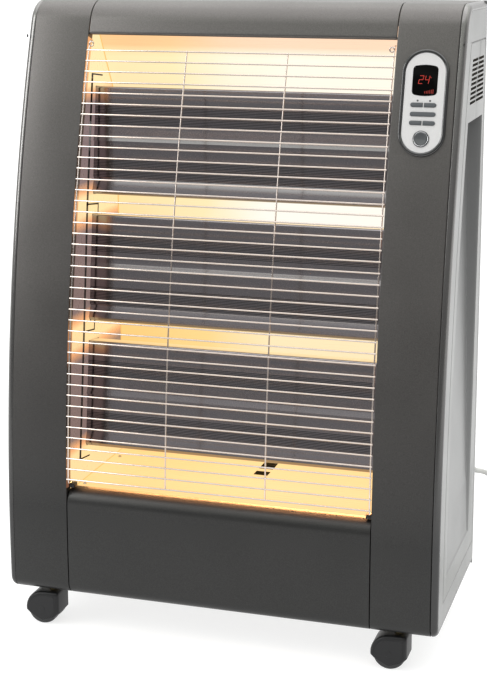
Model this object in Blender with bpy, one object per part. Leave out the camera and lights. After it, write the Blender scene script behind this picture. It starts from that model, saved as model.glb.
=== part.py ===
"""Oil-fired infrared heater on casters, as an assembly of separate pieces.

Metres, +Z up. The origin is on the floor, under the middle of the heater, and the wire guard
faces -Y. The front is one long arc in side view, which rolls over into the top and the underside.
"""

import math

import bmesh
import bpy
from mathutils import Matrix, Vector

# Cabinet
WIDTH = 0.685
HEIGHT = 0.974
BODY_DEPTH = 0.311
BOTTOM_Z = 0.0595
TOP_DEPTH = 0.1638265
BULGE_Z = 0.1275
TOP_ROUND = 0.044
BOTTOM_ROUND = 0.020
SHEET = 0.0012
GAP = 0.0003
OVERRUN = 0.004
ROUND_STEPS = 6
EDGE_STEPS = 3
ARC_STEPS = 14

# Front panels and the opening between them
PILLAR_WIDTH = 0.0903
OPENING_TOP_DROP = 0.052
OPENING_BOTTOM_RISE = 0.1775
PANEL_SHEET = 0.0015
PANEL_SEAM = 0.0011
PILLAR_FLANGE = 0.016
TOP_SEAM_LENGTH = 0.0378265
LOWER_PANEL_ROUND = 0.014
LOWER_PANEL_LIP = 0.010
TOP_PANEL_ROUND = 0.004
TOP_PANEL_LIP = 0.012
UNDERSIDE_LIP = 0.0015

# Rounded edge trims and side panels
EDGE_ROUND = 0.0105
EDGE_WALL = 0.0025
EDGE_TAIL = 0.008
REAR_CLEARANCE = 0.0015
RECESS_INSET = 0.066
RECESS_TOP_DROP = 0.172
RECESS_BOTTOM_RISE = 0.0745
RECESS_TOP_SETBACK = 0.026
RECESS_BOTTOM_SETBACK = 0.053
RECESS_TOP_DEPTH = 0.024
RECESS_BOTTOM_DEPTH = 0.002
RECESS_DRAFT = 0.003
LOUVRE_ROWS = 10
LOUVRE_PITCH = 0.0068
LOUVRE_HEIGHT = 0.0034
LOUVRE_TOP_DROP = 0.0815
LOUVRE_INSET = 0.069
LOUVRE_BRIDGE_INSET = 0.118
LOUVRE_BRIDGE = 0.007
LOUVRE_SETBACK = 0.022

# Rear cover
REAR_SLOT_ROWS = 8
REAR_SLOT_LENGTH = 0.110
REAR_SLOT_HEIGHT = 0.004
REAR_SLOT_PITCH = 0.011
REAR_SLOT_CENTRE_Z = 0.50
REAR_SLOT_SPACING = 0.16

# Base pan
PAN_RIM = 0.014
PAN_SIDE_SETBACK = 0.0050
PAN_FRONT_SETBACK = 0.036
SOCKET_RADIUS = 0.009
SOCKET_HEIGHT = 0.020

# Wire guard
WIRE_COUNT = 41
WIRE_DIAMETER = 0.0024
WIRE_TOP_DROP = 0.0225
WIRE_BOTTOM_RISE = 0.0128
WIRE_PROUD = 0.0010
WIRE_BITE = 0.0006
UPRIGHT_INSET = 0.0032
UPRIGHT_SPACING = 0.1578
UPRIGHT_WIRES = 5
UPRIGHT_TOP_DROP = 0.010
UPRIGHT_BOTTOM_RISE = 0.0055
HOOK_LENGTH = 0.011
CLIP_WIDTH = 0.009
CLIP_DEPTH = 0.012
CLIP_HEIGHT = 0.006

# Reflectors
REFLECTOR_SHEET = 0.0008
REFLECTOR_BOTTOM_DROP = 0.010
REFLECTOR_REAR_SETBACK = 0.0775
REFLECTOR_TOP_RISE = 0.018
HOOD_RISE = 0.1272
HOOD_LEAN = math.radians(29.4)

# Emitters: three flattened ducts, one above the other, on one leaning line
EMITTER_COUNT = 3
EMITTER_SPACING = 0.0302
EMITTER_TOP_DROP = 0.0805
EMITTER_BOTTOM_RISE = 0.0401
EMITTER_DEPTH = 0.040
EMITTER_WALL = 0.0015
EMITTER_INSET = 0.0507188
EMITTER_LEAN_RUN = 0.077438
GROOVE_COUNT = 12
GROOVE_BAND_SHARE = 0.167857
GROOVE_DEPTH = 0.0012
GROOVE_START_SHARES = (0.18, 0.67)
RIDGE_HEIGHT = 0.0085
RIDGE_SHARES = ((0.355, 0.0), (0.40, 0.55), (0.465, 0.96), (0.49, 1.0), (0.525, 0.92), (0.59, 0.38), (0.645, -0.2))
COLLAR_SIDE_MARGIN = 0.008
COLLAR_FRONT_MARGIN = 0.014
COLLAR_BACK_MARGIN = 0.006
COLLAR_SLIT = 0.0016
SEAT_MARGIN = 0.0025
PLATE_SEAT = 0.0010

# Gas boxes in the two pillars
GAS_BOX_CLEARANCE = 0.0145
GAS_BOX_WALL = 0.0012
GAS_BOX_MARGIN = 0.0045
EXHAUST_RADIUS = 0.026
EXHAUST_WALL = 0.0012
EXHAUST_GUARD_RADIUS = 0.036
EXHAUST_GUARD_DEPTH = 0.012
EXHAUST_SLOTS = 5
EXHAUST_SLOT = 0.004

# Burner
BURNER_Z = 0.140
BURNER_RADIUS = 0.055
BURNER_WIDTH = 0.044
BURNER_WALL = 0.0015
BURNER_INLET_RADIUS = 0.028
FLAME_TUBE_RADIUS = 0.020
FOOT_SIZE = 0.030
BLOWER_RADIUS = 0.042
BLOWER_WIDTH = 0.028
BLOWER_BLADES = 12
BLADE_THICKNESS = 0.0016
BLADE_LENGTH = 0.012
SHAFT_RADIUS = 0.004
SHAFT_ENTRY = 0.020
MOTOR_RADIUS = 0.032
MOTOR_LENGTH = 0.060
TRANSFORMER_SIZE = (0.056, 0.070, 0.048)
TRANSFORMER_REAR_CLEARANCE = 0.036
TRANSFORMER_OFFSET = 0.0678

# Fuel system
TANK_PUMP_CLEARANCE = 0.0205
TANK_REAR_CLEARANCE = 0.045
TANK_HEIGHT = 0.134
TANK_SIDE_CLEARANCE = 0.0233
TANK_SETBACK = 0.044
TANK_WALL = 0.0012
FILLER_OFFSET = 0.078
FILLER_ROOT_Z = 0.170
FILLER_ROOT_SETBACK = 0.061
FILLER_TILT = math.radians(35.0)
FILLER_RADIUS = 0.022
FILLER_WALL = 0.0015
FILLER_LENGTH = 0.082
CAP_RADIUS = 0.027
CAP_LENGTH = 0.022
CAP_SKIRT = 0.014
FILLER_HOLE_MARGIN = 0.003
SENDER_OFFSET = 0.218
SENDER_INSET = 0.116
SENDER_FLANGE_RADIUS = 0.020
SENDER_FLANGE = 0.003
SENDER_STEM_RADIUS = 0.006
SENDER_STEM_LENGTH = 0.100
PUMP_RADIUS = 0.012
PUMP_LENGTH = 0.048
PUMP_SETBACK = 0.165
PUMP_BASE = 0.010
FUEL_LINE_DIAMETER = 0.005

# Control panel, in its own leaning plane
CONTROL_SHIFT = 0.00065
CONTROL_DROP = 0.1383
BEZEL_WIDTH = 0.0692
BEZEL_HEIGHT = 0.156
BEZEL_RIM = 0.0037
BEZEL_PROUD = 0.0022
BEZEL_DEPTH = 0.012
FACE_PROUD = 0.0012
FACE_THICKNESS = 0.003
WINDOW_WIDTH = 0.0362
WINDOW_HEIGHT = 0.0452
WINDOW_BOW = 0.0022
WINDOW_CORNER = 0.004
WINDOW_OFFSET = 0.0323
KEY_HEIGHT = 0.0061
KEY_WIDTH = 0.0177
KEY_SPACING = 0.0199
KEY_WIDE = 0.0374
KEY_ROW_OFFSETS = (-0.0034, -0.0168, -0.0296)
KEY_PROUD = 0.0014
KEY_LENGTH = 0.0070
KEY_TRAVEL = 0.0010
POWER_OFFSET = -0.0526
POWER_RADIUS = 0.0095
POWER_PROUD = 0.0020
BOARD_THICKNESS = 0.0016
BOARD_INSET = 0.0012

# Casters
CASTER_SIDE_SETBACK = 0.0619
CASTER_FRONT_SETBACK = 0.0325
CASTER_REAR_CLEARANCE = 0.033
CASTER_TRAIL = 0.012
CASTER_WIDTH = 0.045
WHEEL_RADIUS = 0.025
WHEEL_CHAMFER = 0.004
WHEEL_EDGE = 0.0015
WEB_WIDTH = 0.011
AXLE_RADIUS = 0.004
HOOD_RADIUS = 0.0288
HOOD_TAPER = 0.006
HOOD_FACE_RADIUS = 0.0238
HOOD_COVER = 0.0015
HOOD_CLEARANCE = 0.0010
HOOD_TOP = 0.0295
HOOD_BLOCK = 0.027
HOOD_CORNER = 0.005
HOOD_POINT = 0.0215
HOOD_LEFT_ANGLE = math.radians(188.0)
HOOD_LEFT_SHOULDER = (-0.0205, -0.0115)
HOOD_RIGHT_SHOULDER = (0.0200, -0.0140)
HOOD_RIGHT_SKIRT = 0.006
STEM_RADIUS = 0.004
COLLAR_RADIUS = 0.008
COLLAR_SINK = 0.002
STEM_SHORT = 0.002

# Mains lead
CORD_DIAMETER = 0.0085
GLAND_SIDE_SETBACK = 0.0175
GLAND_Z = 0.212
GLAND_LENGTH = 0.030
GLAND_ROOT_RADIUS = 0.0095
GLAND_TIP_RADIUS = 0.0058
GLAND_FLANGE_RADIUS = 0.013
GLAND_FLANGE = 0.003
COIL_X = 0.462
COIL_Y = 0.150
COIL_TURN_DIAMETERS = 11.0
COIL_LOOPS = 5
COIL_POINTS_PER_LOOP = 24
COIL_STEP_DIAMETERS = 1.10
PLUG_SWING_DIAMETERS = 3.5
POINT_SPACING_DIAMETERS = 2.2
CORD_SIDES_RESOLUTION = 2
COIL_SIDES_RESOLUTION = 1
PLUG_RADIUS = 0.019
PLUG_LENGTH = 0.034
PLUG_NECK_RADIUS = 0.0075
PLUG_NECK_LENGTH = 0.016
PIN_RADIUS = 0.0024
PIN_LENGTH = 0.019
PIN_SPACING = 0.019

# Places worked out from the sizes above
FILLER_REACH = (
    (FILLER_LENGTH + CAP_LENGTH - CAP_SKIRT) * math.cos(FILLER_TILT)
    + CAP_RADIUS * math.sin(FILLER_TILT)
    - FILLER_ROOT_SETBACK
)
ARC_RISE = HEIGHT - BULGE_Z
FRONT_TOP_SETBACK = BODY_DEPTH - TOP_DEPTH
TOP_SEAM_SETBACK = FRONT_TOP_SETBACK + TOP_SEAM_LENGTH
FRONT_RADIUS = (ARC_RISE * ARC_RISE / FRONT_TOP_SETBACK + FRONT_TOP_SETBACK) / 2
FRONT_Y = -(BODY_DEPTH + FILLER_REACH) / 2
REAR_Y = FRONT_Y + BODY_DEPTH
ARC_Y = FRONT_Y + FRONT_RADIUS
SIDE_X = WIDTH / 2
PILLAR_X = SIDE_X - EDGE_ROUND - GAP
OPENING_X = PILLAR_X - PILLAR_WIDTH
OPENING_TOP_Z = HEIGHT - OPENING_TOP_DROP
OPENING_BOTTOM_Z = BOTTOM_Z + OPENING_BOTTOM_RISE
RECESS_TOP_Z = HEIGHT - RECESS_TOP_DROP
RECESS_BOTTOM_Z = BOTTOM_Z + RECESS_BOTTOM_RISE
LOUVRE_TOP_Z = HEIGHT - LOUVRE_TOP_DROP
WIRE_TOP_Z = OPENING_TOP_Z - WIRE_TOP_DROP
WIRE_BOTTOM_Z = OPENING_BOTTOM_Z + WIRE_BOTTOM_RISE
UPRIGHT_TOP_Z = OPENING_TOP_Z - UPRIGHT_TOP_DROP
UPRIGHT_BOTTOM_Z = OPENING_BOTTOM_Z + UPRIGHT_BOTTOM_RISE
REFLECTOR_BOTTOM_Z = OPENING_BOTTOM_Z - REFLECTOR_BOTTOM_DROP
REFLECTOR_TOP_Z = OPENING_TOP_Z + REFLECTOR_TOP_RISE
HOOD_FOOT_Z = REFLECTOR_TOP_Z - HOOD_RISE
EMITTER_TOP_Z = OPENING_TOP_Z - EMITTER_TOP_DROP
EMITTER_ROOM = EMITTER_TOP_Z - OPENING_BOTTOM_Z
EMITTER_PITCH = (EMITTER_ROOM - EMITTER_BOTTOM_RISE + EMITTER_SPACING) / EMITTER_COUNT
EMITTER_HEIGHT = EMITTER_PITCH - EMITTER_SPACING
EMITTER_LEAN = math.atan(EMITTER_LEAN_RUN / EMITTER_ROOM)
EMITTER_RISE = EMITTER_TOP_Z - BULGE_Z
EMITTER_TOP_SETBACK = (
    FRONT_RADIUS - math.sqrt(FRONT_RADIUS * FRONT_RADIUS - EMITTER_RISE * EMITTER_RISE) + EMITTER_INSET
)
TRANSFORMER_SETBACK = BODY_DEPTH - TRANSFORMER_REAR_CLEARANCE - TRANSFORMER_SIZE[1]
TANK_DEPTH = BODY_DEPTH - TANK_SETBACK - TANK_REAR_CLEARANCE
SENDER_SETBACK = TANK_SETBACK + SENDER_INSET
CASTER_REAR_SETBACK = BODY_DEPTH - CASTER_REAR_CLEARANCE
GROOVE_PITCH = EMITTER_HEIGHT * GROOVE_BAND_SHARE / GROOVE_COUNT
CONTROL_X = (OPENING_X + PILLAR_X) / 2 + CONTROL_SHIFT
CONTROL_Z = HEIGHT - CONTROL_DROP
CASTER_X = SIDE_X - CASTER_SIDE_SETBACK
GLAND_X = SIDE_X - GLAND_SIDE_SETBACK
SIDE_INNER_X = SIDE_X - SHEET
PLATE_INNER_X = OPENING_X + GAP
PLATE_OUTER_X = PLATE_INNER_X + REFLECTOR_SHEET
GAS_BOX_DEPTH = SIDE_INNER_X - RECESS_TOP_DEPTH - GAS_BOX_CLEARANCE - PLATE_OUTER_X - GAP
BURNER_X = PLATE_OUTER_X + GAP + GAS_BOX_DEPTH / 2
TRANSFORMER_X = BURNER_X - TRANSFORMER_OFFSET
TANK_LEFT_X = TANK_SIDE_CLEARANCE - SIDE_INNER_X
TANK_RIGHT_X = BURNER_X - BURNER_WIDTH / 2 - GAP - MOTOR_LENGTH - PUMP_LENGTH - TANK_PUMP_CLEARANCE
TANK_WIDTH = TANK_RIGHT_X - TANK_LEFT_X
FILLER_X = TANK_LEFT_X + FILLER_OFFSET
SENDER_X = TANK_LEFT_X + SENDER_OFFSET
PAN_FLOOR_Z = BOTTOM_Z + PANEL_SHEET + OVERRUN + SHEET
BACK_Y = REAR_Y - REFLECTOR_REAR_SETBACK


def make_finish(name, colour, roughness, metallic):
    """Return a Principled material."""
    material = bpy.data.materials.new(name)
    material.use_nodes = True
    shader = material.node_tree.nodes["Principled BSDF"]
    shader.inputs["Base Color"].default_value = (*colour, 1.0)
    shader.inputs["Roughness"].default_value = roughness
    shader.inputs["Metallic"].default_value = metallic
    material.diffuse_color = (*colour, 1.0)
    return material


def make_finishes():
    """Return the heater's materials by name."""
    return {
        "graphite_paint": make_finish("graphite_paint", (0.13, 0.13, 0.125), 0.38, 0.55),
        "trim_paint": make_finish("trim_paint", (0.16, 0.16, 0.155), 0.30, 0.5),
        "side_paint": make_finish("side_paint", (0.42, 0.42, 0.41), 0.35, 0.4),
        "rear_paint": make_finish("rear_paint", (0.30, 0.30, 0.30), 0.45, 0.3),
        "chrome_wire": make_finish("chrome_wire", (0.82, 0.82, 0.84), 0.12, 1.0),
        "emitter_coat": make_finish("emitter_coat", (0.045, 0.042, 0.043), 0.40, 0.4),
        "reflector_steel": make_finish("reflector_steel", (0.95, 0.78, 0.50), 0.30, 0.8),
        "duct_steel": make_finish("duct_steel", (0.45, 0.44, 0.42), 0.45, 0.9),
        "tank_steel": make_finish("tank_steel", (0.30, 0.31, 0.32), 0.45, 0.8),
        "burner_cast": make_finish("burner_cast", (0.50, 0.50, 0.51), 0.5, 0.9),
        "zinc": make_finish("zinc", (0.72, 0.62, 0.35), 0.35, 1.0),
        "black_plastic": make_finish("black_plastic", (0.03, 0.03, 0.031), 0.42, 0.0),
        "key_plastic": make_finish("key_plastic", (0.11, 0.115, 0.12), 0.45, 0.0),
        "white_face": make_finish("white_face", (0.86, 0.86, 0.87), 0.32, 0.0),
        "bezel_gloss": make_finish("bezel_gloss", (0.06, 0.06, 0.065), 0.12, 0.0),
        "window_glass": make_finish("window_glass", (0.008, 0.008, 0.009), 0.05, 0.0),
        "board_green": make_finish("board_green", (0.03, 0.20, 0.08), 0.5, 0.0),
        "cap_red": make_finish("cap_red", (0.55, 0.05, 0.03), 0.4, 0.0),
        "brass": make_finish("brass", (0.78, 0.57, 0.24), 0.3, 1.0),
        "cord_grey": make_finish("cord_grey", (0.52, 0.52, 0.50), 0.55, 0.0),
    }


def add_piece(name, bm, finish):
    """Turn a bmesh into a named, smooth shaded object."""
    bmesh.ops.recalc_face_normals(bm, faces=bm.faces)
    mesh = bpy.data.meshes.new(name)
    bm.to_mesh(mesh)
    bm.free()
    piece = bpy.data.objects.new(name, mesh)
    bpy.context.collection.objects.link(piece)
    mesh.materials.append(finish)
    return piece


def loft_loops(bm, loops, closed=False):
    """Bridge loops of equal length; the ends are capped, or the last loop meets the first."""
    rings = [[bm.verts.new(point) for point in loop] for loop in loops]
    count = len(rings[0])
    pairs = list(zip(rings, rings[1:]))
    if closed:
        pairs.append((rings[-1], rings[0]))
    for ring, following in pairs:
        for i in range(count):
            j = (i + 1) % count
            bm.faces.new((ring[i], ring[j], following[j], following[i]))
    if not closed:
        bm.faces.new(rings[0])
        bm.faces.new(rings[-1])


def loft(name, loops, finish, closed=False):
    """Make a piece from loops that are bridged one after the other."""
    bm = bmesh.new()
    loft_loops(bm, loops, closed)
    return add_piece(name, bm, finish)


def prism_x(name, outline, low_x, high_x, finish):
    """Extrude an outline of (y, z) points along X."""
    return loft(name, [[(x, y, z) for y, z in outline] for x in (low_x, high_x)], finish)


def box(name, low, high, finish):
    """Make a box between two corners."""
    outline = ((low[1], low[2]), (high[1], low[2]), (high[1], high[2]), (low[1], high[2]))
    return prism_x(name, outline, low[0], high[0], finish)


def circle_loops(profile, origin, axis, sides):
    """Return loops for a turned profile of (radius, along) pairs about an axis."""
    turn = Vector((0, 0, 1)).rotation_difference(Vector(axis)).to_matrix()
    if abs(axis[0]) < 0.5:
        side = Vector((1, 0, 0))
    else:
        side = Vector((0, 0, 1))
    across = side.cross(Vector(axis)).normalized()
    turn = Matrix((side, across, Vector(axis).normalized())).transposed()
    loops = []
    for radius, along in profile:
        loop = []
        for i in range(sides):
            angle = math.tau * i / sides
            local = Vector((radius * math.cos(angle), radius * math.sin(angle), along))
            loop.append(Vector(origin) + turn @ local)
        loops.append(loop)
    return loops


def turned(name, profile, origin, axis, sides, finish, closed=False):
    """Make a turned piece; a closed profile is a tube with open ends."""
    return loft(name, circle_loops(profile, origin, axis, sides), finish, closed)


def combine(target, tool, operation):
    """Apply one exact Boolean and remove its tool."""
    modifier = target.modifiers.new(operation.lower(), "BOOLEAN")
    modifier.operation = operation
    modifier.solver = "EXACT"
    modifier.object = tool
    graph = bpy.context.evaluated_depsgraph_get()
    mesh = bpy.data.meshes.new_from_object(target.evaluated_get(graph))
    target.modifiers.remove(modifier)
    old = target.data
    target.data = mesh
    mesh.name = target.name
    bpy.data.meshes.remove(old)
    bpy.data.objects.remove(tool)
    return target


def cut(target, tool):
    """Take a tool's shape out of a piece."""
    return combine(target, tool, "DIFFERENCE")


def join(target, tool):
    """Weld a tool's shape onto a piece."""
    return combine(target, tool, "UNION")


def front_y(z, inset=0.0):
    """Return the Y of the front arc at a height, a given distance inside the surface."""
    reach = FRONT_RADIUS - inset
    return ARC_Y - math.sqrt(reach * reach - (z - BULGE_Z) ** 2)


def arc_stations(centre, radius, start, end, steps):
    """Return (point, inward normal) pairs along an arc; angle 0 faces forward, 90 degrees up."""
    stations = []
    for i in range(steps + 1):
        angle = start + (end - start) * i / steps
        outward = Vector((-math.cos(angle), math.sin(angle)))
        stations.append((Vector(centre) + radius * outward, -outward))
    return stations


def rolled_edge(line_z, radius, side):
    """Return the centre and angle of the round between the front arc and a level line."""
    reach = FRONT_RADIUS - radius
    angle = math.asin((line_z - side * radius - BULGE_Z) / reach)
    return (ARC_Y - reach * math.cos(angle), BULGE_Z + reach * math.sin(angle)), angle


def front_path(low_z, low_round, low_end_y, high_z, high_round, high_end_y):
    """Return stations from the lower lip, up the front arc, to the end of the upper lip."""
    low_centre, low_angle = rolled_edge(low_z, low_round, -1)
    high_centre, high_angle = rolled_edge(high_z, high_round, 1)
    quarter = math.pi / 2
    steps = max(2, round(ARC_STEPS * (high_z - low_z) / (HEIGHT - BOTTOM_Z)))
    stations = [(Vector((low_end_y, low_z)), Vector((0, 1)))]
    stations += arc_stations(low_centre, low_round, -quarter, low_angle, ROUND_STEPS)
    arc = arc_stations((ARC_Y, BULGE_Z), FRONT_RADIUS, low_angle, high_angle, steps)
    stations += arc[1:-1]
    stations += arc_stations(high_centre, high_round, high_angle, quarter, ROUND_STEPS)
    stations.append((Vector((high_end_y, high_z)), Vector((0, -1))))
    return stations


def sweep_front(name, stations, section, finish):
    """Carry a section of (x, inset) points along the stations."""
    loops = []
    for point, inward in stations:
        loops.append([(x, *(point + inset * inward)) for x, inset in section])
    return loft(name, loops, finish)


def cabinet_path():
    """Return the stations of the whole side profile, lips running to the rear cover."""
    end_y = REAR_Y - REAR_CLEARANCE
    return front_path(BOTTOM_Z, BOTTOM_ROUND, end_y, HEIGHT, TOP_ROUND, end_y)


def build_pillar(side, finishes):
    """Build one front pillar: a channel that runs the full height beside the opening."""
    name = "front_right_pillar" if side > 0 else "front_left_pillar"
    low_centre, _ = rolled_edge(BOTTOM_Z, BOTTOM_ROUND, -1)
    stations = front_path(
        BOTTOM_Z, BOTTOM_ROUND, low_centre[0] + UNDERSIDE_LIP, HEIGHT, TOP_ROUND, FRONT_Y + TOP_SEAM_SETBACK
    )
    inner, outer, wall = OPENING_X, PILLAR_X, PANEL_SHEET
    section = [
        (inner, 0), (outer, 0), (outer, PILLAR_FLANGE), (outer - wall, PILLAR_FLANGE),
        (outer - wall, wall), (inner + wall, wall), (inner + wall, PILLAR_FLANGE), (inner, PILLAR_FLANGE),
    ]
    section = [(side * x, inset) for x, inset in section]
    return sweep_front(name, stations, section, finishes["graphite_paint"])


def build_top_panel(finishes):
    """Build the panel over the opening, which rolls over into the top."""
    half = OPENING_X - PANEL_SEAM
    centre, _ = rolled_edge(OPENING_TOP_Z, TOP_PANEL_ROUND, -1)
    stations = front_path(
        OPENING_TOP_Z, TOP_PANEL_ROUND, centre[0] + TOP_PANEL_LIP, HEIGHT, TOP_ROUND, FRONT_Y + TOP_SEAM_SETBACK
    )
    section = [(-half, 0), (half, 0), (half, PANEL_SHEET), (-half, PANEL_SHEET)]
    return sweep_front("front_top_panel", stations, section, finishes["graphite_paint"])


def build_lower_panel(finishes):
    """Build the panel under the opening, with its rolled top edge."""
    half = OPENING_X - PANEL_SEAM
    low_centre, _ = rolled_edge(BOTTOM_Z, BOTTOM_ROUND, -1)
    high_centre, _ = rolled_edge(OPENING_BOTTOM_Z, LOWER_PANEL_ROUND, 1)
    stations = front_path(
        BOTTOM_Z, BOTTOM_ROUND, low_centre[0] + UNDERSIDE_LIP,
        OPENING_BOTTOM_Z, LOWER_PANEL_ROUND, high_centre[0] + LOWER_PANEL_LIP,
    )
    section = [(-half, 0), (half, 0), (half, PANEL_SHEET), (-half, PANEL_SHEET)]
    return sweep_front("lower_front_panel", stations, section, finishes["graphite_paint"])


def build_edge_trim(side, finishes):
    """Build the rounded strip between a pillar and a side panel."""
    name = "right_edge_trim" if side > 0 else "left_edge_trim"
    centre_x = SIDE_X - EDGE_ROUND
    inner_radius = EDGE_ROUND - EDGE_WALL
    tail_x = SIDE_INNER_X - GAP
    outer_arc, inner_arc = [], []
    for i in range(EDGE_STEPS + 1):
        angle = math.pi / 2 * i / EDGE_STEPS
        outer_arc.append((centre_x + EDGE_ROUND * math.sin(angle), EDGE_ROUND * (1 - math.cos(angle))))
        inner_arc.append((centre_x + inner_radius * math.sin(angle), EDGE_ROUND - inner_radius * math.cos(angle)))
    tail_inset = EDGE_ROUND + EDGE_TAIL
    tail = [(tail_x, EDGE_ROUND), (tail_x, tail_inset), (tail_x - EDGE_WALL, tail_inset)]
    section = outer_arc + tail + [(tail_x - EDGE_WALL, EDGE_ROUND)] + list(reversed(inner_arc[:-1]))
    section = [(side * x, inset) for x, inset in section]
    return sweep_front(name, cabinet_path(), section, finishes["trim_paint"])


def recess_outline():
    """Return the (y, z) corners of the side recess, front edge first, from the bottom up."""
    points = []
    for i in range(ROUND_STEPS + 1):
        z = RECESS_BOTTOM_Z + (RECESS_TOP_Z - RECESS_BOTTOM_Z) * i / ROUND_STEPS
        points.append((front_y(z) + RECESS_INSET, z))
    points.append((REAR_Y - RECESS_TOP_SETBACK, RECESS_TOP_Z))
    points.append((REAR_Y - RECESS_BOTTOM_SETBACK, RECESS_BOTTOM_Z))
    return points


def recess_depth(z):
    """Return the depth of the recess floor at a height."""
    share = (z - RECESS_BOTTOM_Z) / (RECESS_TOP_Z - RECESS_BOTTOM_Z)
    return RECESS_BOTTOM_DEPTH + share * (RECESS_TOP_DEPTH - RECESS_BOTTOM_DEPTH)


def shrink(outline, amount):
    """Move each corner of a clockwise or anticlockwise outline inwards."""
    count = len(outline)
    area = sum(outline[i - 1][0] * outline[i][1] - outline[i][0] * outline[i - 1][1] for i in range(count))
    turn = 1 if area > 0 else -1
    result = []
    for i in range(count):
        here = Vector(outline[i])
        before = (here - Vector(outline[i - 1])).normalized()
        after = (Vector(outline[(i + 1) % count]) - here).normalized()
        normal_before = turn * Vector((-before.y, before.x))
        normal_after = turn * Vector((-after.y, after.x))
        middle = (normal_before + normal_after).normalized()
        result.append(tuple(here + middle * amount / middle.dot(normal_before)))
    return result


def fill_between(bm, outer, inner):
    """Fill the flat ring between two loops of vertices."""
    edges = []
    for loop in (outer, inner):
        for i, vertex in enumerate(loop):
            pair = (vertex, loop[(i + 1) % len(loop)])
            edges.append(bm.edges.get(pair) or bm.edges.new(pair))
    bmesh.ops.triangle_fill(bm, use_beauty=True, use_dissolve=False, edges=edges)


def bridge(bm, first, second):
    """Join two loops of vertices with a band of faces."""
    count = len(first)
    for i in range(count):
        j = (i + 1) % count
        bm.faces.new((first[i], first[j], second[j], second[i]))


def louvre_cutter(side, finishes):
    """Return the slots of one side panel, as one cutting tool."""
    bm = bmesh.new()
    inner_x, outer_x = side * (SIDE_INNER_X - OVERRUN), side * (SIDE_X + OVERRUN)
    for row in range(LOUVRE_ROWS):
        top = LOUVRE_TOP_Z - row * LOUVRE_PITCH
        bottom = top - LOUVRE_HEIGHT
        start = front_y(top)
        spans = (
            (start + LOUVRE_INSET, start + LOUVRE_BRIDGE_INSET),
            (start + LOUVRE_BRIDGE_INSET + LOUVRE_BRIDGE, REAR_Y - LOUVRE_SETBACK),
        )
        for low_y, high_y in spans:
            outline = ((low_y, bottom), (high_y, bottom), (high_y, top), (low_y, top))
            loft_loops(bm, [[(x, y, z) for y, z in outline] for x in (inner_x, outer_x)])
    return add_piece("louvre_cutter", bm, finishes["side_paint"])


def build_side_panel(side, finishes):
    """Build one pressed side panel with its sloping hand recess and its louvres."""
    name = "right_side_panel" if side > 0 else "left_side_panel"
    outline = [tuple(point + (EDGE_ROUND + GAP) * inward) for point, inward in cabinet_path()]
    recess = recess_outline()
    floor = shrink(recess, RECESS_DRAFT)
    back_recess = shrink(recess, -SHEET)
    back_floor = shrink(recess, RECESS_DRAFT - SHEET)
    bm = bmesh.new()

    def loop(points, depth):
        """Add a loop of vertices, each at its depth below the panel's face."""
        return [bm.verts.new((side * (SIDE_X - depth(z)), y, z)) for y, z in points]

    face_rim = loop(outline, lambda z: 0.0)
    back_rim = loop(outline, lambda z: SHEET)
    face_hole = loop(recess, lambda z: 0.0)
    back_hole = loop(back_recess, lambda z: SHEET)
    face_floor = loop(floor, recess_depth)
    rear_floor = loop(back_floor, lambda z: recess_depth(z) + SHEET)
    fill_between(bm, face_rim, face_hole)
    fill_between(bm, back_rim, back_hole)
    bridge(bm, face_rim, back_rim)
    bridge(bm, face_hole, face_floor)
    bridge(bm, back_hole, rear_floor)
    bm.faces.new(face_floor)
    bm.faces.new(rear_floor)
    panel = add_piece(name, bm, finishes["side_paint"])
    return cut(panel, louvre_cutter(side, finishes))


def build_top_plate(finishes):
    """Build the flat plate behind the rolled front panels."""
    low = (-PILLAR_X, FRONT_Y + TOP_SEAM_SETBACK + GAP, HEIGHT - SHEET)
    high = (PILLAR_X, REAR_Y - REAR_CLEARANCE, HEIGHT)
    return box("top_plate", low, high, finishes["rear_paint"])


def filler_axis():
    """Return the filler neck's root and its direction."""
    root = Vector((FILLER_X, REAR_Y - FILLER_ROOT_SETBACK, FILLER_ROOT_Z))
    return root, Vector((0, math.cos(FILLER_TILT), math.sin(FILLER_TILT)))


def exhaust_place():
    """Return the exhaust pipe's axis as (x, z)."""
    return -BURNER_X, EMITTER_TOP_Z - EMITTER_HEIGHT / 2


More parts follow.
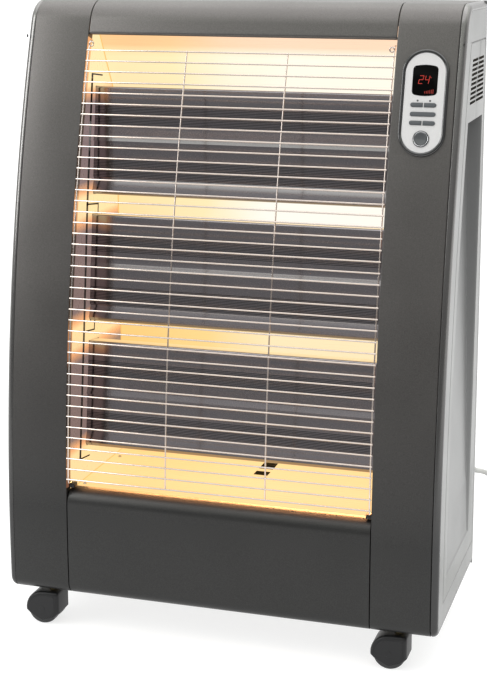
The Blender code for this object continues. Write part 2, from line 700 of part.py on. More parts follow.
def build_rear_cover(finishes):
    """Build the flat rear cover with its air slots and its three holes."""
    low = (-SIDE_X, REAR_Y - SHEET, BOTTOM_Z)
    cover = box("rear_cover", low, (SIDE_X, REAR_Y, HEIGHT), finishes["rear_paint"])
    bm = bmesh.new()
    low_y, high_y = REAR_Y - SHEET - OVERRUN, REAR_Y + OVERRUN
    for column in (-1, 1):
        for row in range(REAR_SLOT_ROWS):
            centre = REAR_SLOT_CENTRE_Z + (row - (REAR_SLOT_ROWS - 1) / 2) * REAR_SLOT_PITCH
            low_x = column * REAR_SLOT_SPACING / 2 - REAR_SLOT_LENGTH / 2
            low_z = centre - REAR_SLOT_HEIGHT / 2
            high_z = centre + REAR_SLOT_HEIGHT / 2
            outline = ((low_y, low_z), (high_y, low_z), (high_y, high_z), (low_y, high_z))
            xs = (low_x, low_x + REAR_SLOT_LENGTH)
            loft_loops(bm, [[(x, y, z) for y, z in outline] for x in xs])
    root, direction = filler_axis()
    hole_radius = CAP_RADIUS + FILLER_HOLE_MARGIN
    filler_profile = [(hole_radius, 0), (hole_radius, FILLER_LENGTH + CAP_LENGTH)]
    loft_loops(bm, circle_loops(filler_profile, root, direction, 32))
    thickness = high_y - low_y
    exhaust_x, exhaust_z = exhaust_place()
    exhaust_profile = [(EXHAUST_RADIUS + GAP, 0), (EXHAUST_RADIUS + GAP, thickness)]
    loft_loops(bm, circle_loops(exhaust_profile, (exhaust_x, low_y, exhaust_z), (0, 1, 0), 32))
    gland_profile = [(CORD_DIAMETER, 0), (CORD_DIAMETER, thickness)]
    loft_loops(bm, circle_loops(gland_profile, (GLAND_X, low_y, GLAND_Z), (0, 1, 0), 16))
    return cut(cover, add_piece("rear_cutter", bm, finishes["rear_paint"]))


def caster_places():
    """Return the stem axis of each caster as (name, x, y)."""
    places = []
    for row, setback in (("front", CASTER_FRONT_SETBACK), ("rear", CASTER_REAR_SETBACK)):
        for column, x in (("left", -CASTER_X), ("right", CASTER_X)):
            places.append((f"{row}_{column}", x, FRONT_Y + setback))
    return places


def pan_depth_range():
    """Return the base pan's front and rear edges."""
    return FRONT_Y + PAN_FRONT_SETBACK, REAR_Y - REAR_CLEARANCE


def build_base_pan(finishes):
    """Build the base pan with its rim and a socket over each caster."""
    front, rear = pan_depth_range()
    bottom = PAN_FLOOR_Z - SHEET
    half = SIDE_X - PAN_SIDE_SETBACK
    zinc = finishes["duct_steel"]
    pan = box("base_pan", (-half, front, bottom), (half, rear, PAN_FLOOR_Z + PAN_RIM), zinc)
    low = (-half + SHEET, front + SHEET, PAN_FLOOR_Z)
    inner = box("pan_inside", low, (half - SHEET, rear - SHEET, PAN_FLOOR_Z + PAN_RIM + OVERRUN), zinc)
    cut(pan, inner)
    for name, x, y in caster_places():
        if y < front + SOCKET_RADIUS:
            tongue_low = (x - 2 * SOCKET_RADIUS, y - SOCKET_RADIUS, bottom)
            tongue_high = (x + 2 * SOCKET_RADIUS, front + SOCKET_RADIUS, PAN_FLOOR_Z)
            join(pan, box("tongue", tongue_low, tongue_high, zinc))
        profile = [(SOCKET_RADIUS, 0), (SOCKET_RADIUS, SHEET + SOCKET_HEIGHT)]
        join(pan, turned("socket", profile, (x, y, bottom), (0, 0, 1), 12, zinc))
        bore = [(STEM_RADIUS + GAP, 0), (STEM_RADIUS + GAP, SHEET + SOCKET_HEIGHT + 2 * OVERRUN)]
        cut(pan, turned("bore", bore, (x, y, bottom - OVERRUN), (0, 0, 1), 12, zinc))
    return pan


def wire_height(index):
    """Return the height of a horizontal wire, counted from the top, at equal steps of arc."""
    top = math.asin((WIRE_TOP_Z - BULGE_Z) / FRONT_RADIUS)
    bottom = math.asin((WIRE_BOTTOM_Z - BULGE_Z) / FRONT_RADIUS)
    angle = top + (bottom - top) * index / (WIRE_COUNT - 1)
    return BULGE_Z + FRONT_RADIUS * math.sin(angle)


def build_guard(finishes):
    """Build the wire guard: level wires over four uprights that follow the front arc."""
    chrome = finishes["chrome_wire"]
    radius = WIRE_DIAMETER / 2
    level_inset = -WIRE_PROUD
    upright_inset = level_inset + WIRE_DIAMETER - WIRE_BITE
    end_x = OPENING_X - GAP
    levels = bmesh.new()
    for index in range(WIRE_COUNT):
        z = wire_height(index)
        y = front_y(z, level_inset)
        outline = ((y, z - radius), (y + radius, z), (y, z + radius), (y - radius, z))
        loft_loops(levels, [[(x, oy, oz) for oy, oz in outline] for x in (-end_x, end_x)])
    guard = add_piece("wire_guard", levels, chrome)
    uprights = bmesh.new()
    edge_x = OPENING_X - UPRIGHT_INSET
    heights = [UPRIGHT_TOP_Z] + [wire_height(i) for i in range(0, WIRE_COUNT, UPRIGHT_WIRES)] + [UPRIGHT_BOTTOM_Z]
    for x in (-edge_x, -UPRIGHT_SPACING / 2, UPRIGHT_SPACING / 2, edge_x):
        loops = []
        spine = [(front_y(z, upright_inset), z) for z in heights]
        if abs(x) > UPRIGHT_SPACING:
            spine = (
                [(spine[0][0] + HOOK_LENGTH, spine[0][1] + radius), (spine[0][0] + radius, spine[0][1] + radius)]
                + spine[1:-1]
                + [(spine[-1][0] + radius, spine[-1][1] - radius), (spine[-1][0] + HOOK_LENGTH, spine[-1][1] - radius)]
            )
        for i, (y, z) in enumerate(spine):
            before = Vector(spine[max(i - 1, 0)])
            after = Vector(spine[min(i + 1, len(spine) - 1)])
            along = (after - before).normalized()
            across = Vector((-along.y, along.x)) * radius
            loops.append([
                (x - radius, y + across.x, z + across.y), (x + radius, y + across.x, z + across.y),
                (x + radius, y - across.x, z - across.y), (x - radius, y - across.x, z - across.y),
            ])
        loft_loops(uprights, loops)
    return join(guard, add_piece("uprights", uprights, chrome))


def build_guard_clips(finishes):
    """Build the clip that holds each lower hook of the guard on the lower panel's lip."""
    high_centre, _ = rolled_edge(OPENING_BOTTOM_Z, LOWER_PANEL_ROUND, 1)
    hook_top = UPRIGHT_BOTTOM_Z
    hook_bottom = UPRIGHT_BOTTOM_Z - WIRE_DIAMETER
    low_z = OPENING_BOTTOM_Z + GAP
    low_y = high_centre[0] - CLIP_DEPTH / 2
    for side, name in ((-1, "guard_clip_left"), (1, "guard_clip_right")):
        x = side * (OPENING_X - PANEL_SEAM - CLIP_WIDTH / 2)
        low = (x - CLIP_WIDTH / 2, low_y, low_z)
        clip = box(name, low, (x + CLIP_WIDTH / 2, low_y + CLIP_DEPTH, low_z + CLIP_HEIGHT), finishes["black_plastic"])
        wire_x = side * (OPENING_X - UPRIGHT_INSET)
        half = WIRE_DIAMETER / 2 + GAP
        slot_low = (wire_x - half, low_y - OVERRUN, hook_bottom - GAP)
        slot_high = (wire_x + half, low_y + CLIP_DEPTH + OVERRUN, hook_top + CLIP_HEIGHT)
        cut(clip, box("clip_slot", slot_low, slot_high, finishes["black_plastic"]))


def emitter_point(index, down, forward):
    """Return (y, z) of a point on an emitter, measured down its face and forward of it."""
    top_y = FRONT_Y + EMITTER_TOP_SETBACK - index * EMITTER_PITCH * math.tan(EMITTER_LEAN)
    top_z = EMITTER_TOP_Z - index * EMITTER_PITCH
    y = top_y - down * math.sin(EMITTER_LEAN) - forward * math.cos(EMITTER_LEAN)
    z = top_z - down * math.cos(EMITTER_LEAN) + forward * math.sin(EMITTER_LEAN)
    return y, z


def emitter_face():
    """Return the front profile of an emitter as (down, forward) points, top to bottom."""
    points = [(0, 0)]
    upper_start, lower_start = (share * EMITTER_HEIGHT for share in GROOVE_START_SHARES)

    def grooves(start):
        """Return the points of one band of fine grooves."""
        band = [(start, 0)]
        for i in range(GROOVE_COUNT):
            band.append((start + (i + 1 / 2) * GROOVE_PITCH, -GROOVE_DEPTH))
            band.append((start + (i + 1) * GROOVE_PITCH, 0))
        return band

    points += grooves(upper_start)
    points += [(down * EMITTER_HEIGHT, forward * RIDGE_HEIGHT) for down, forward in RIDGE_SHARES]
    points += grooves(lower_start)
    points.append((EMITTER_HEIGHT, 0))
    return points


def emitter_rectangle(index, top, bottom, front, back):
    """Return the (y, z) corners of a rectangle around an emitter, by its margins."""
    corners = (
        (-top, front), (EMITTER_HEIGHT + bottom, front),
        (EMITTER_HEIGHT + bottom, -EMITTER_DEPTH - back), (-top, -EMITTER_DEPTH - back),
    )
    return [emitter_point(index, down, forward) for down, forward in corners]


def build_emitter(index, name, finishes):
    """Build one emitter: a grooved duct whose collars pass the side plates and seat behind them."""
    coat = finishes["emitter_coat"]
    end_x = PLATE_OUTER_X + GAS_BOX_DEPTH / 10
    outline = [emitter_point(index, *point) for point in emitter_face()]
    outline += [emitter_point(index, EMITTER_HEIGHT, -EMITTER_DEPTH), emitter_point(index, 0, -EMITTER_DEPTH)]
    emitter = prism_x(name, outline, -end_x, end_x, coat)
    slit = COLLAR_SLIT
    for side in (-1, 1):
        collar = emitter_rectangle(
            index, COLLAR_SIDE_MARGIN - slit, COLLAR_SIDE_MARGIN - slit,
            COLLAR_FRONT_MARGIN - slit, COLLAR_BACK_MARGIN - slit,
        )
        seat_x = side * (PLATE_OUTER_X + GAP)
        join(emitter, prism_x("collar", collar, side * PLATE_INNER_X, seat_x + side * PLATE_SEAT, coat))
        seat = emitter_rectangle(
            index, COLLAR_SIDE_MARGIN + SEAT_MARGIN, COLLAR_SIDE_MARGIN + SEAT_MARGIN,
            COLLAR_FRONT_MARGIN + SEAT_MARGIN, COLLAR_BACK_MARGIN + SEAT_MARGIN,
        )
        join(emitter, prism_x("seat", seat, seat_x, seat_x + side * PLATE_SEAT, coat))
    wall = EMITTER_WALL + GROOVE_DEPTH
    bore = emitter_rectangle(index, -wall, -wall, -wall, -EMITTER_WALL)
    return cut(emitter, prism_x("bore", bore, -end_x - OVERRUN, end_x + OVERRUN, coat))


def hood_line():
    """Return the (y, z) of the sloping top reflector's foot and head."""
    rise = REFLECTOR_TOP_Z - HOOD_FOOT_Z
    return (BACK_Y, HOOD_FOOT_Z), (BACK_Y - rise * math.tan(HOOD_LEAN), REFLECTOR_TOP_Z)


def build_reflectors(finishes):
    """Build the five reflector plates around the emitters."""
    steel = finishes["reflector_steel"]
    sheet = REFLECTOR_SHEET
    foot, head = hood_line()
    half = PLATE_INNER_X - GAP
    low_front = front_y(REFLECTOR_BOTTOM_Z) + PILLAR_FLANGE + GAP
    along = Vector((head[0] - foot[0], head[1] - foot[1])).normalized()
    behind = Vector((along.y, -along.x)) * sheet
    hood = [foot, head, (head[0] + behind.x, head[1] + behind.y), (foot[0] + behind.x, foot[1] + behind.y)]
    hood_top = prism_x("reflector_top", hood, -half, half, steel)
    back_low = (-half, BACK_Y, REFLECTOR_BOTTOM_Z + GAP)
    box("reflector_back", back_low, (half, BACK_Y + sheet, HOOD_FOOT_Z - sheet - GAP), steel)
    box(
        "reflector_bottom", (-half, low_front, REFLECTOR_BOTTOM_Z - sheet),
        (half, BACK_Y + sheet, REFLECTOR_BOTTOM_Z), steel,
    )
    for side, name in ((-1, "reflector_left"), (1, "reflector_right")):
        edge = []
        for i in range(ARC_STEPS + 1):
            z = REFLECTOR_BOTTOM_Z - sheet + (REFLECTOR_TOP_Z - REFLECTOR_BOTTOM_Z + sheet) * i / ARC_STEPS
            edge.append((front_y(z, PILLAR_FLANGE + GAP), z))
        outline = edge + [
            (head[0] + behind.x, head[1]), (foot[0] + behind.x, foot[1]),
            (BACK_Y + behind.x, REFLECTOR_BOTTOM_Z - sheet),
        ]
        plate = prism_x(name, outline, side * PLATE_INNER_X, side * PLATE_OUTER_X, steel)
        cut_xs = (side * (PLATE_INNER_X - OVERRUN), side * (PLATE_OUTER_X + OVERRUN))
        for index in range(EMITTER_COUNT):
            window = emitter_rectangle(
                index, COLLAR_SIDE_MARGIN, COLLAR_SIDE_MARGIN, COLLAR_FRONT_MARGIN, COLLAR_BACK_MARGIN
            )
            cut(plate, prism_x("window", window, *cut_xs, steel))
    return hood_top


def gas_box(name, side, top_index, bottom_index, finishes):
    """Build a box, open towards the emitters, over the ends of one or two of them."""
    margin = COLLAR_SIDE_MARGIN + GAS_BOX_MARGIN
    front = COLLAR_FRONT_MARGIN + GAS_BOX_MARGIN
    back = COLLAR_BACK_MARGIN + GAS_BOX_MARGIN

    def ring(wall):
        """Return the box's outline, moved inwards by a wall."""
        depth = EMITTER_DEPTH + back - wall
        return [
            emitter_point(top_index, -margin + wall, front - wall),
            emitter_point(bottom_index, EMITTER_HEIGHT + margin - wall, front - wall),
            emitter_point(bottom_index, EMITTER_HEIGHT + margin - wall, -depth),
            emitter_point(top_index, -margin + wall, -depth),
        ]

    open_x = side * (PLATE_OUTER_X + GAP)
    closed_x = side * (PLATE_OUTER_X + GAP + GAS_BOX_DEPTH)
    floor_x = closed_x - side * GAS_BOX_WALL
    outer, inner = ring(0), ring(GAS_BOX_WALL)
    plan = ((outer, closed_x), (outer, open_x), (inner, open_x), (inner, floor_x))
    return loft(name, [[(x, y, z) for y, z in outline] for outline, x in plan], finishes["duct_steel"])


def flame_tube_axis():
    """Return the x and y of the upright flame tube."""
    y, _ = emitter_point(EMITTER_COUNT - 1, EMITTER_HEIGHT, -EMITTER_DEPTH / 2)
    return BURNER_X, y


def build_gas_path(finishes):
    """Build the combustion chamber, the two turns and the exhaust."""
    steel = finishes["duct_steel"]
    chamber = gas_box("combustion_chamber", 1, 2, 2, finishes)
    tube_x, tube_y = flame_tube_axis()
    port = [(FLAME_TUBE_RADIUS + GAP, 0), (FLAME_TUBE_RADIUS + GAP, EMITTER_HEIGHT / 2)]
    port_z = emitter_point(2, EMITTER_HEIGHT, 0)[1] - EMITTER_HEIGHT / 4
    cut(chamber, turned("port", port, (tube_x, tube_y, port_z), (0, 0, 1), 24, steel))
    gas_box("left_turn_box", -1, 1, 2, finishes)
    gas_box("right_turn_box", 1, 0, 1, finishes)
    outlet = gas_box("outlet_box", -1, 0, 0, finishes)
    exhaust_x, exhaust_z = exhaust_place()
    start_y = emitter_point(0, EMITTER_HEIGHT / 2, -EMITTER_DEPTH - GAS_BOX_MARGIN)[0]
    hole = [(EXHAUST_RADIUS + GAP, 0), (EXHAUST_RADIUS + GAP, EMITTER_DEPTH)]
    cut(outlet, turned("hole", hole, (exhaust_x, start_y, exhaust_z), (0, 1, 0), 32, steel))
    end_y = REAR_Y + EXHAUST_GUARD_DEPTH / 2
    inner = EXHAUST_RADIUS - EXHAUST_WALL
    pipe = [(EXHAUST_RADIUS, 0), (EXHAUST_RADIUS, end_y - start_y), (inner, end_y - start_y), (inner, 0)]
    turned("exhaust_pipe", pipe, (exhaust_x, start_y, exhaust_z), (0, 1, 0), 32, steel, closed=True)
    radius, wall = EXHAUST_GUARD_RADIUS, EXHAUST_WALL
    depth = EXHAUST_GUARD_DEPTH
    guard = [(radius, depth), (radius, 0), (radius - wall, 0), (radius - wall, depth - wall)]
    cowl = turned("exhaust_guard", guard, (exhaust_x, REAR_Y + GAP, exhaust_z), (0, 1, 0), 32, steel)
    bm = bmesh.new()
    for i in range(EXHAUST_SLOTS):
        z = exhaust_z + (i - (EXHAUST_SLOTS - 1) / 2) * 3 * EXHAUST_SLOT
        half = math.sqrt((radius - 2 * wall) ** 2 - (abs(z - exhaust_z) + EXHAUST_SLOT) ** 2)
        low_y, high_y = REAR_Y + depth - 2 * wall, REAR_Y + depth + OVERRUN
        low_z, high_z = z - EXHAUST_SLOT / 2, z + EXHAUST_SLOT / 2
        outline = ((low_y, low_z), (high_y, low_z), (high_y, high_z), (low_y, high_z))
        loft_loops(bm, [[(x, oy, oz) for oy, oz in outline] for x in (exhaust_x - half, exhaust_x + half)])
    cut(cowl, add_piece("cowl_slots", bm, steel))


def build_burner(finishes):
    """Build the burner's housing, its blower wheel, its motor and the ignition transformer."""
    cast = finishes["burner_cast"]
    x, y = flame_tube_axis()
    half = BURNER_WIDTH / 2
    origin = (x - half, y, BURNER_Z)
    tube_top = emitter_point(EMITTER_COUNT - 1, EMITTER_HEIGHT, 0)[1] + GAS_BOX_MARGIN
    housing = turned(
        "burner_housing", [(BURNER_RADIUS, 0), (BURNER_RADIUS, BURNER_WIDTH)], origin, (1, 0, 0), 32, cast
    )
    tube = [(FLAME_TUBE_RADIUS, 0), (FLAME_TUBE_RADIUS, tube_top - BURNER_Z)]
    join(housing, turned("tube", tube, (x, y, BURNER_Z), (0, 0, 1), 24, cast))
    foot_low = (x - half, y - FOOT_SIZE / 2, PAN_FLOOR_Z + GAP)
    join(housing, box("foot", foot_low, (x + half, y + FOOT_SIZE / 2, BURNER_Z - BURNER_RADIUS / 2), cast))
    wall = BURNER_WALL
    inner_radius = BURNER_RADIUS - wall
    scroll = [(inner_radius, 0), (inner_radius, BURNER_WIDTH - 2 * wall)]
    hollow = turned("scroll", scroll, (x - half + wall, y, BURNER_Z), (1, 0, 0), 32, cast)
    bore_radius = FLAME_TUBE_RADIUS - wall
    bore = [(bore_radius, 0), (bore_radius, tube_top - BURNER_Z + OVERRUN)]
    join(hollow, turned("tube_bore", bore, (x, y, BURNER_Z), (0, 0, 1), 24, cast))
    inlet = [(BURNER_INLET_RADIUS, 0), (BURNER_INLET_RADIUS, half + OVERRUN)]
    join(hollow, turned("inlet", inlet, (x, y, BURNER_Z), (1, 0, 0), 24, cast))
    shaft_hole = [(SHAFT_RADIUS + GAP, 0), (SHAFT_RADIUS + GAP, half + OVERRUN)]
    join(hollow, turned("shaft_hole", shaft_hole, (x - half - OVERRUN, y, BURNER_Z), (1, 0, 0), 16, cast))
    cut(housing, hollow)

    plate = BLADE_THICKNESS
    low_x = x - BLOWER_WIDTH / 2
    wheel = turned("blower_wheel", [(BLOWER_RADIUS, 0), (BLOWER_RADIUS, plate)], (low_x, y, BURNER_Z), (1, 0, 0), 24, cast)
    blades = bmesh.new()
    for i in range(BLOWER_BLADES):
        turn = Matrix.Rotation(math.tau * i / BLOWER_BLADES, 3, "X")
        outer, inner = BLOWER_RADIUS - plate, BLOWER_RADIUS - plate - BLADE_LENGTH
        loops = []
        for blade_x in (low_x + plate / 2, low_x + BLOWER_WIDTH):
            corners = ((inner, -plate / 2), (outer, -plate / 2), (outer, plate / 2), (inner, plate / 2))
            loops.append([Vector((blade_x, y, BURNER_Z)) + turn @ Vector((0, b, a)) for a, b in corners])
        loft_loops(blades, loops)
    join(wheel, add_piece("blades", blades, cast))
    shaft_start = x - half - GAP - SHAFT_ENTRY
    shaft = [(SHAFT_RADIUS, 0), (SHAFT_RADIUS, low_x + plate / 2 - shaft_start)]
    join(wheel, turned("shaft", shaft, (shaft_start, y, BURNER_Z), (1, 0, 0), 16, cast))

    motor_start = x - half - GAP - MOTOR_LENGTH
    motor_profile = [(MOTOR_RADIUS, 0), (MOTOR_RADIUS, MOTOR_LENGTH)]
    motor = turned("burner_motor", motor_profile, (motor_start, y, BURNER_Z), (1, 0, 0), 24, finishes["black_plastic"])
    bore = [(SHAFT_RADIUS + GAP, 0), (SHAFT_RADIUS + GAP, SHAFT_ENTRY + GAP + OVERRUN)]
    cut(motor, turned("motor_bore", bore, (shaft_start - GAP, y, BURNER_Z), (1, 0, 0), 16, cast))

    size = TRANSFORMER_SIZE
    low = (TRANSFORMER_X, FRONT_Y + TRANSFORMER_SETBACK, PAN_FLOOR_Z + GAP)
    box("ignition_transformer", low, tuple(a + b for a, b in zip(low, size)), finishes["black_plastic"])


def build_fuel_system(finishes):
    """Build the tank with its filler neck, the cap, the level sender, the pump and the fuel line."""
    steel = finishes["tank_steel"]
    wall = TANK_WALL
    low = Vector((TANK_LEFT_X, FRONT_Y + TANK_SETBACK, PAN_FLOOR_Z + GAP))
    high = low + Vector((TANK_WIDTH, TANK_DEPTH, TANK_HEIGHT))
    root, direction = filler_axis()
    tank = box("fuel_tank", low, high, steel)
    neck = [(FILLER_RADIUS, 0), (FILLER_RADIUS, FILLER_LENGTH)]
    join(tank, turned("neck", neck, root, direction, 32, steel))
    inside = Vector((wall, wall, wall))
    hollow = box("tank_inside", low + inside, high - inside, steel)
    bore_radius = FILLER_RADIUS - FILLER_WALL
    bore = [(bore_radius, 0), (bore_radius, FILLER_LENGTH + OVERRUN)]
    join(hollow, turned("neck_bore", bore, root, direction, 32, steel))
    cut(tank, hollow)
    sender_y = FRONT_Y + SENDER_SETBACK
    hole_radius = SENDER_STEM_RADIUS + GAP
    hole = [(hole_radius, 0), (hole_radius, 2 * OVERRUN)]
    cut(tank, turned("sender_hole", hole, (SENDER_X, sender_y, high.z - OVERRUN), (0, 0, 1), 16, steel))

    mouth = FILLER_LENGTH - CAP_SKIRT
    cap_origin = root + direction * mouth
    cap_profile = [
        (CAP_RADIUS, CAP_LENGTH), (CAP_RADIUS, 0), (FILLER_RADIUS + GAP, 0), (FILLER_RADIUS + GAP, CAP_SKIRT + GAP),
    ]
    turned("fuel_cap", cap_profile, cap_origin, direction, 32, finishes["cap_red"])

    top = high.z + GAP
    sender = [
        (SENDER_STEM_RADIUS, -SENDER_STEM_LENGTH), (SENDER_STEM_RADIUS, 0),
        (SENDER_FLANGE_RADIUS, 0), (SENDER_FLANGE_RADIUS, SENDER_FLANGE),
    ]
    turned("fuel_level_sender", sender, (SENDER_X, sender_y, top), (0, 0, 1), 16, finishes["brass"])

    pump_y = FRONT_Y + PUMP_SETBACK
    pump_z = PAN_FLOOR_Z + GAP + PUMP_BASE + PUMP_RADIUS
    pump_x = high.x + GAP
    pump_profile = [(PUMP_RADIUS, 0), (PUMP_RADIUS, PUMP_LENGTH)]
    pump = turned("fuel_pump", pump_profile, (pump_x, pump_y, pump_z), (1, 0, 0), 20, finishes["brass"])
    base_low = (pump_x + PUMP_LENGTH / 4, pump_y - PUMP_RADIUS / 2, PAN_FLOOR_Z + GAP)
    base_high = (pump_x + PUMP_LENGTH * 3 / 4, pump_y + PUMP_RADIUS / 2, pump_z)
    join(pump, box("pump_base", base_low, base_high, finishes["brass"]))

    tube_x, tube_y = flame_tube_axis()
    start = Vector((pump_x + PUMP_LENGTH + GAP, pump_y, pump_z))
    line_z = BURNER_Z + BURNER_RADIUS + FLAME_TUBE_RADIUS
    end = Vector((tube_x - FLAME_TUBE_RADIUS - GAP, tube_y, line_z))
    motor_side = tube_y + MOTOR_RADIUS + 2 * FUEL_LINE_DIAMETER
    lead = 3 * FUEL_LINE_DIAMETER
    route = [
        start, start + Vector((FUEL_LINE_DIAMETER, 0, 0)),
        Vector((start.x + lead, motor_side, BURNER_Z)),
        Vector((end.x - lead, tube_y + FUEL_LINE_DIAMETER, line_z)),
        end - Vector((FUEL_LINE_DIAMETER, 0, 0)), end,
    ]
    points = smooth_points(route, FUEL_LINE_DIAMETER * POINT_SPACING_DIAMETERS)
    add_tube("fuel_line", points, FUEL_LINE_DIAMETER, 1, finishes["brass"])


def smooth_points(route, spacing):
    """Return evenly stepped points on a smooth curve through a route's own points."""
    spans = [(second - first).length for first, second in zip(route, route[1:])]
    slopes = [(route[1] - route[0]) / spans[0]]
    for i in range(1, len(route) - 1):
        before, after = spans[i - 1], spans[i]
        slope = (route[i] - route[i - 1]) * after / before + (route[i + 1] - route[i]) * before / after
        slopes.append(slope / (before + after))
    slopes.append((route[-1] - route[-2]) / spans[-1])
    points = []
    for i, span in enumerate(spans):
        steps = max(1, round(span / spacing))
        for step in range(steps):
            t = step / steps
            here = (1 + 2 * t) * (1 - t) ** 2 * route[i] + t * (1 - t) ** 2 * span * slopes[i]
            there = t * t * (3 - 2 * t) * route[i + 1] + t * t * (t - 1) * span * slopes[i + 1]
            points.append(here + there)
    points.append(route[-1])
    return points


def add_tube(name, points, diameter, resolution, finish):
    """Make a round tube along a list of points, with flat closed ends."""
    curve = bpy.data.curves.new(name, "CURVE")
    curve.dimensions = "3D"
    curve.bevel_depth = diameter / 2
    curve.bevel_resolution = resolution
    curve.use_fill_caps = True
    spline = curve.splines.new("POLY")
    spline.points.add(len(points) - 1)
    for spot, point in zip(spline.points, points):
        spot.co = (*point, 1.0)
    curve.materials.append(finish)
    tube = bpy.data.objects.new(name, curve)
    bpy.context.collection.objects.link(tube)
    return tube


def stadium(width, height, steps):
    """Return the (x, v) outline of an upright stadium about the panel's centre."""
    radius = width / 2
    straight = height / 2 - radius
    points = []
    for i in range(steps + 1):
        angle = math.pi * i / steps
        points.append((radius * math.cos(angle), straight + radius * math.sin(angle)))
    for i in range(steps + 1):
        angle = math.pi + math.pi * i / steps
        points.append((radius * math.cos(angle), -straight + radius * math.sin(angle)))
    return points


def window_outline(margin):
    """Return the display window's outline, with its bowed top and bottom and rounded corners."""
    half = WINDOW_WIDTH / 2 + margin
    tall = WINDOW_HEIGHT / 2 + margin
    side = tall - WINDOW_BOW - WINDOW_CORNER
    shoulder = half - WINDOW_CORNER
    points = []
    for turn in (1, -1):
        points.append((turn * half, WINDOW_OFFSET + turn * side))
        points.append((turn * (shoulder + half) / 2, WINDOW_OFFSET + turn * (tall - WINDOW_BOW - WINDOW_CORNER / 4)))
        for i in range(5):
            share = 1 - i / 2
            x = shoulder * share
            points.append((turn * x, WINDOW_OFFSET + turn * (tall - WINDOW_BOW * share * share)))
        points.append((-turn * (shoulder + half) / 2, WINDOW_OFFSET + turn * (tall - WINDOW_BOW - WINDOW_CORNER / 4)))
        points.append((-turn * half, WINDOW_OFFSET + turn * side))
    return points


def key_outline(centre_x, centre_v, width, round_left, round_right, margin):
    """Return a key's outline; a rounded end is a half circle."""
    half, tall = width / 2 + margin, KEY_HEIGHT / 2 + margin
    points = []
    for turn, is_round in ((1, round_right), (-1, round_left)):
        if is_round:
            for i in range(5):
                angle = -math.pi / 2 + math.pi * i / 4
                x = half - tall + tall * math.cos(angle)
                points.append((centre_x + turn * x, centre_v + turn * tall * math.sin(angle)))
        else:
            points.append((centre_x + turn * half, centre_v - turn * tall))
            points.append((centre_x + turn * half, centre_v + turn * tall))
    return points


def panel_prism(name, outline, outer, inner, finish):
    """Extrude an (x, v) outline in the control panel's frame; outer and inner are heights above it."""
    return loft(name, [[(x, -w, v) for x, v in outline] for w in (outer, inner)], finish)


def key_plan():
    """Return each key's name and outline data."""
    upper, middle, lower = KEY_ROW_OFFSETS
    offset = KEY_SPACING / 2
    return [
        ("key_temperature_up", -offset, upper, KEY_WIDTH, True, False),
        ("key_temperature_down", offset, upper, KEY_WIDTH, False, True),
        ("key_heat_mode", 0, middle, KEY_WIDE, True, True),
        ("key_timer_set", -offset, lower, KEY_WIDTH, True, False),
        ("key_timer_start", offset, lower, KEY_WIDTH, False, True),
    ]


def build_controls(pillar, finishes):
    """Build the control panel in its leaning frame and cut its seat into the right pillar."""
    lean = math.asin((CONTROL_Z - BULGE_Z) / FRONT_RADIUS)
    frame = bpy.data.objects.new("control_frame", None)
    frame.location = (CONTROL_X, front_y(CONTROL_Z), CONTROL_Z)
    frame.rotation_euler = (-lean, 0, 0)
    bpy.context.collection.objects.link(frame)
    bpy.context.view_layer.update()

    outer = stadium(BEZEL_WIDTH, BEZEL_HEIGHT, 12)
    inner = shrink(outer, BEZEL_RIM)
    seat = panel_prism("seat", shrink(outer, -GAP), PILLAR_FLANGE, -PILLAR_FLANGE, finishes["bezel_gloss"])
    seat.matrix_world = frame.matrix_world
    cut(pillar, seat)

    pieces = []
    plan = ((outer, -BEZEL_DEPTH), (outer, BEZEL_PROUD), (inner, BEZEL_PROUD), (inner, -BEZEL_DEPTH))
    rings = [[(x, -w, v) for x, v in outline] for outline, w in plan]
    pieces.append(loft("control_bezel", rings, finishes["bezel_gloss"], closed=True))

    face = panel_prism(
        "control_face", shrink(inner, GAP), FACE_PROUD, FACE_PROUD - FACE_THICKNESS, finishes["white_face"]
    )
    holes = bmesh.new()
    outlines = [window_outline(GAP)]
    for _, x, v, width, left, right in key_plan():
        outlines.append(key_outline(x, v, width, left, right, GAP))
    for outline in outlines:
        loft_loops(holes, [[(x, -w, v) for x, v in outline] for w in (OVERRUN, -OVERRUN)])
    button_hole = [(POWER_RADIUS + GAP, -OVERRUN), (POWER_RADIUS + GAP, OVERRUN)]
    loft_loops(holes, circle_loops(button_hole, (0, 0, POWER_OFFSET), (0, 1, 0), 24))
    pieces.append(cut(face, add_piece("face_holes", holes, finishes["white_face"])))

    window = window_outline(0)
    pieces.append(panel_prism(
        "display_window", window, FACE_PROUD, FACE_PROUD - FACE_THICKNESS, finishes["window_glass"]
    ))
    for name, x, v, width, left, right in key_plan():
        outline = key_outline(x, v, width, left, right, 0)
        top = FACE_PROUD + KEY_PROUD
        pieces.append(panel_prism(name, outline, top, top - KEY_LENGTH, finishes["key_plastic"]))
    top = FACE_PROUD + POWER_PROUD
    button = [(POWER_RADIUS, -top + KEY_LENGTH), (POWER_RADIUS, -top)]
    pieces.append(turned(
        "power_button", button, (0, 0, POWER_OFFSET), (0, 1, 0), 24, finishes["key_plastic"]
    ))
    board = shrink(outer, BOARD_INSET)
    board_top = -BEZEL_DEPTH - GAP
    pieces.append(panel_prism(
        "control_board", board, board_top, board_top - BOARD_THICKNESS, finishes["board_green"]
    ))
    for piece in pieces:
        piece.parent = frame


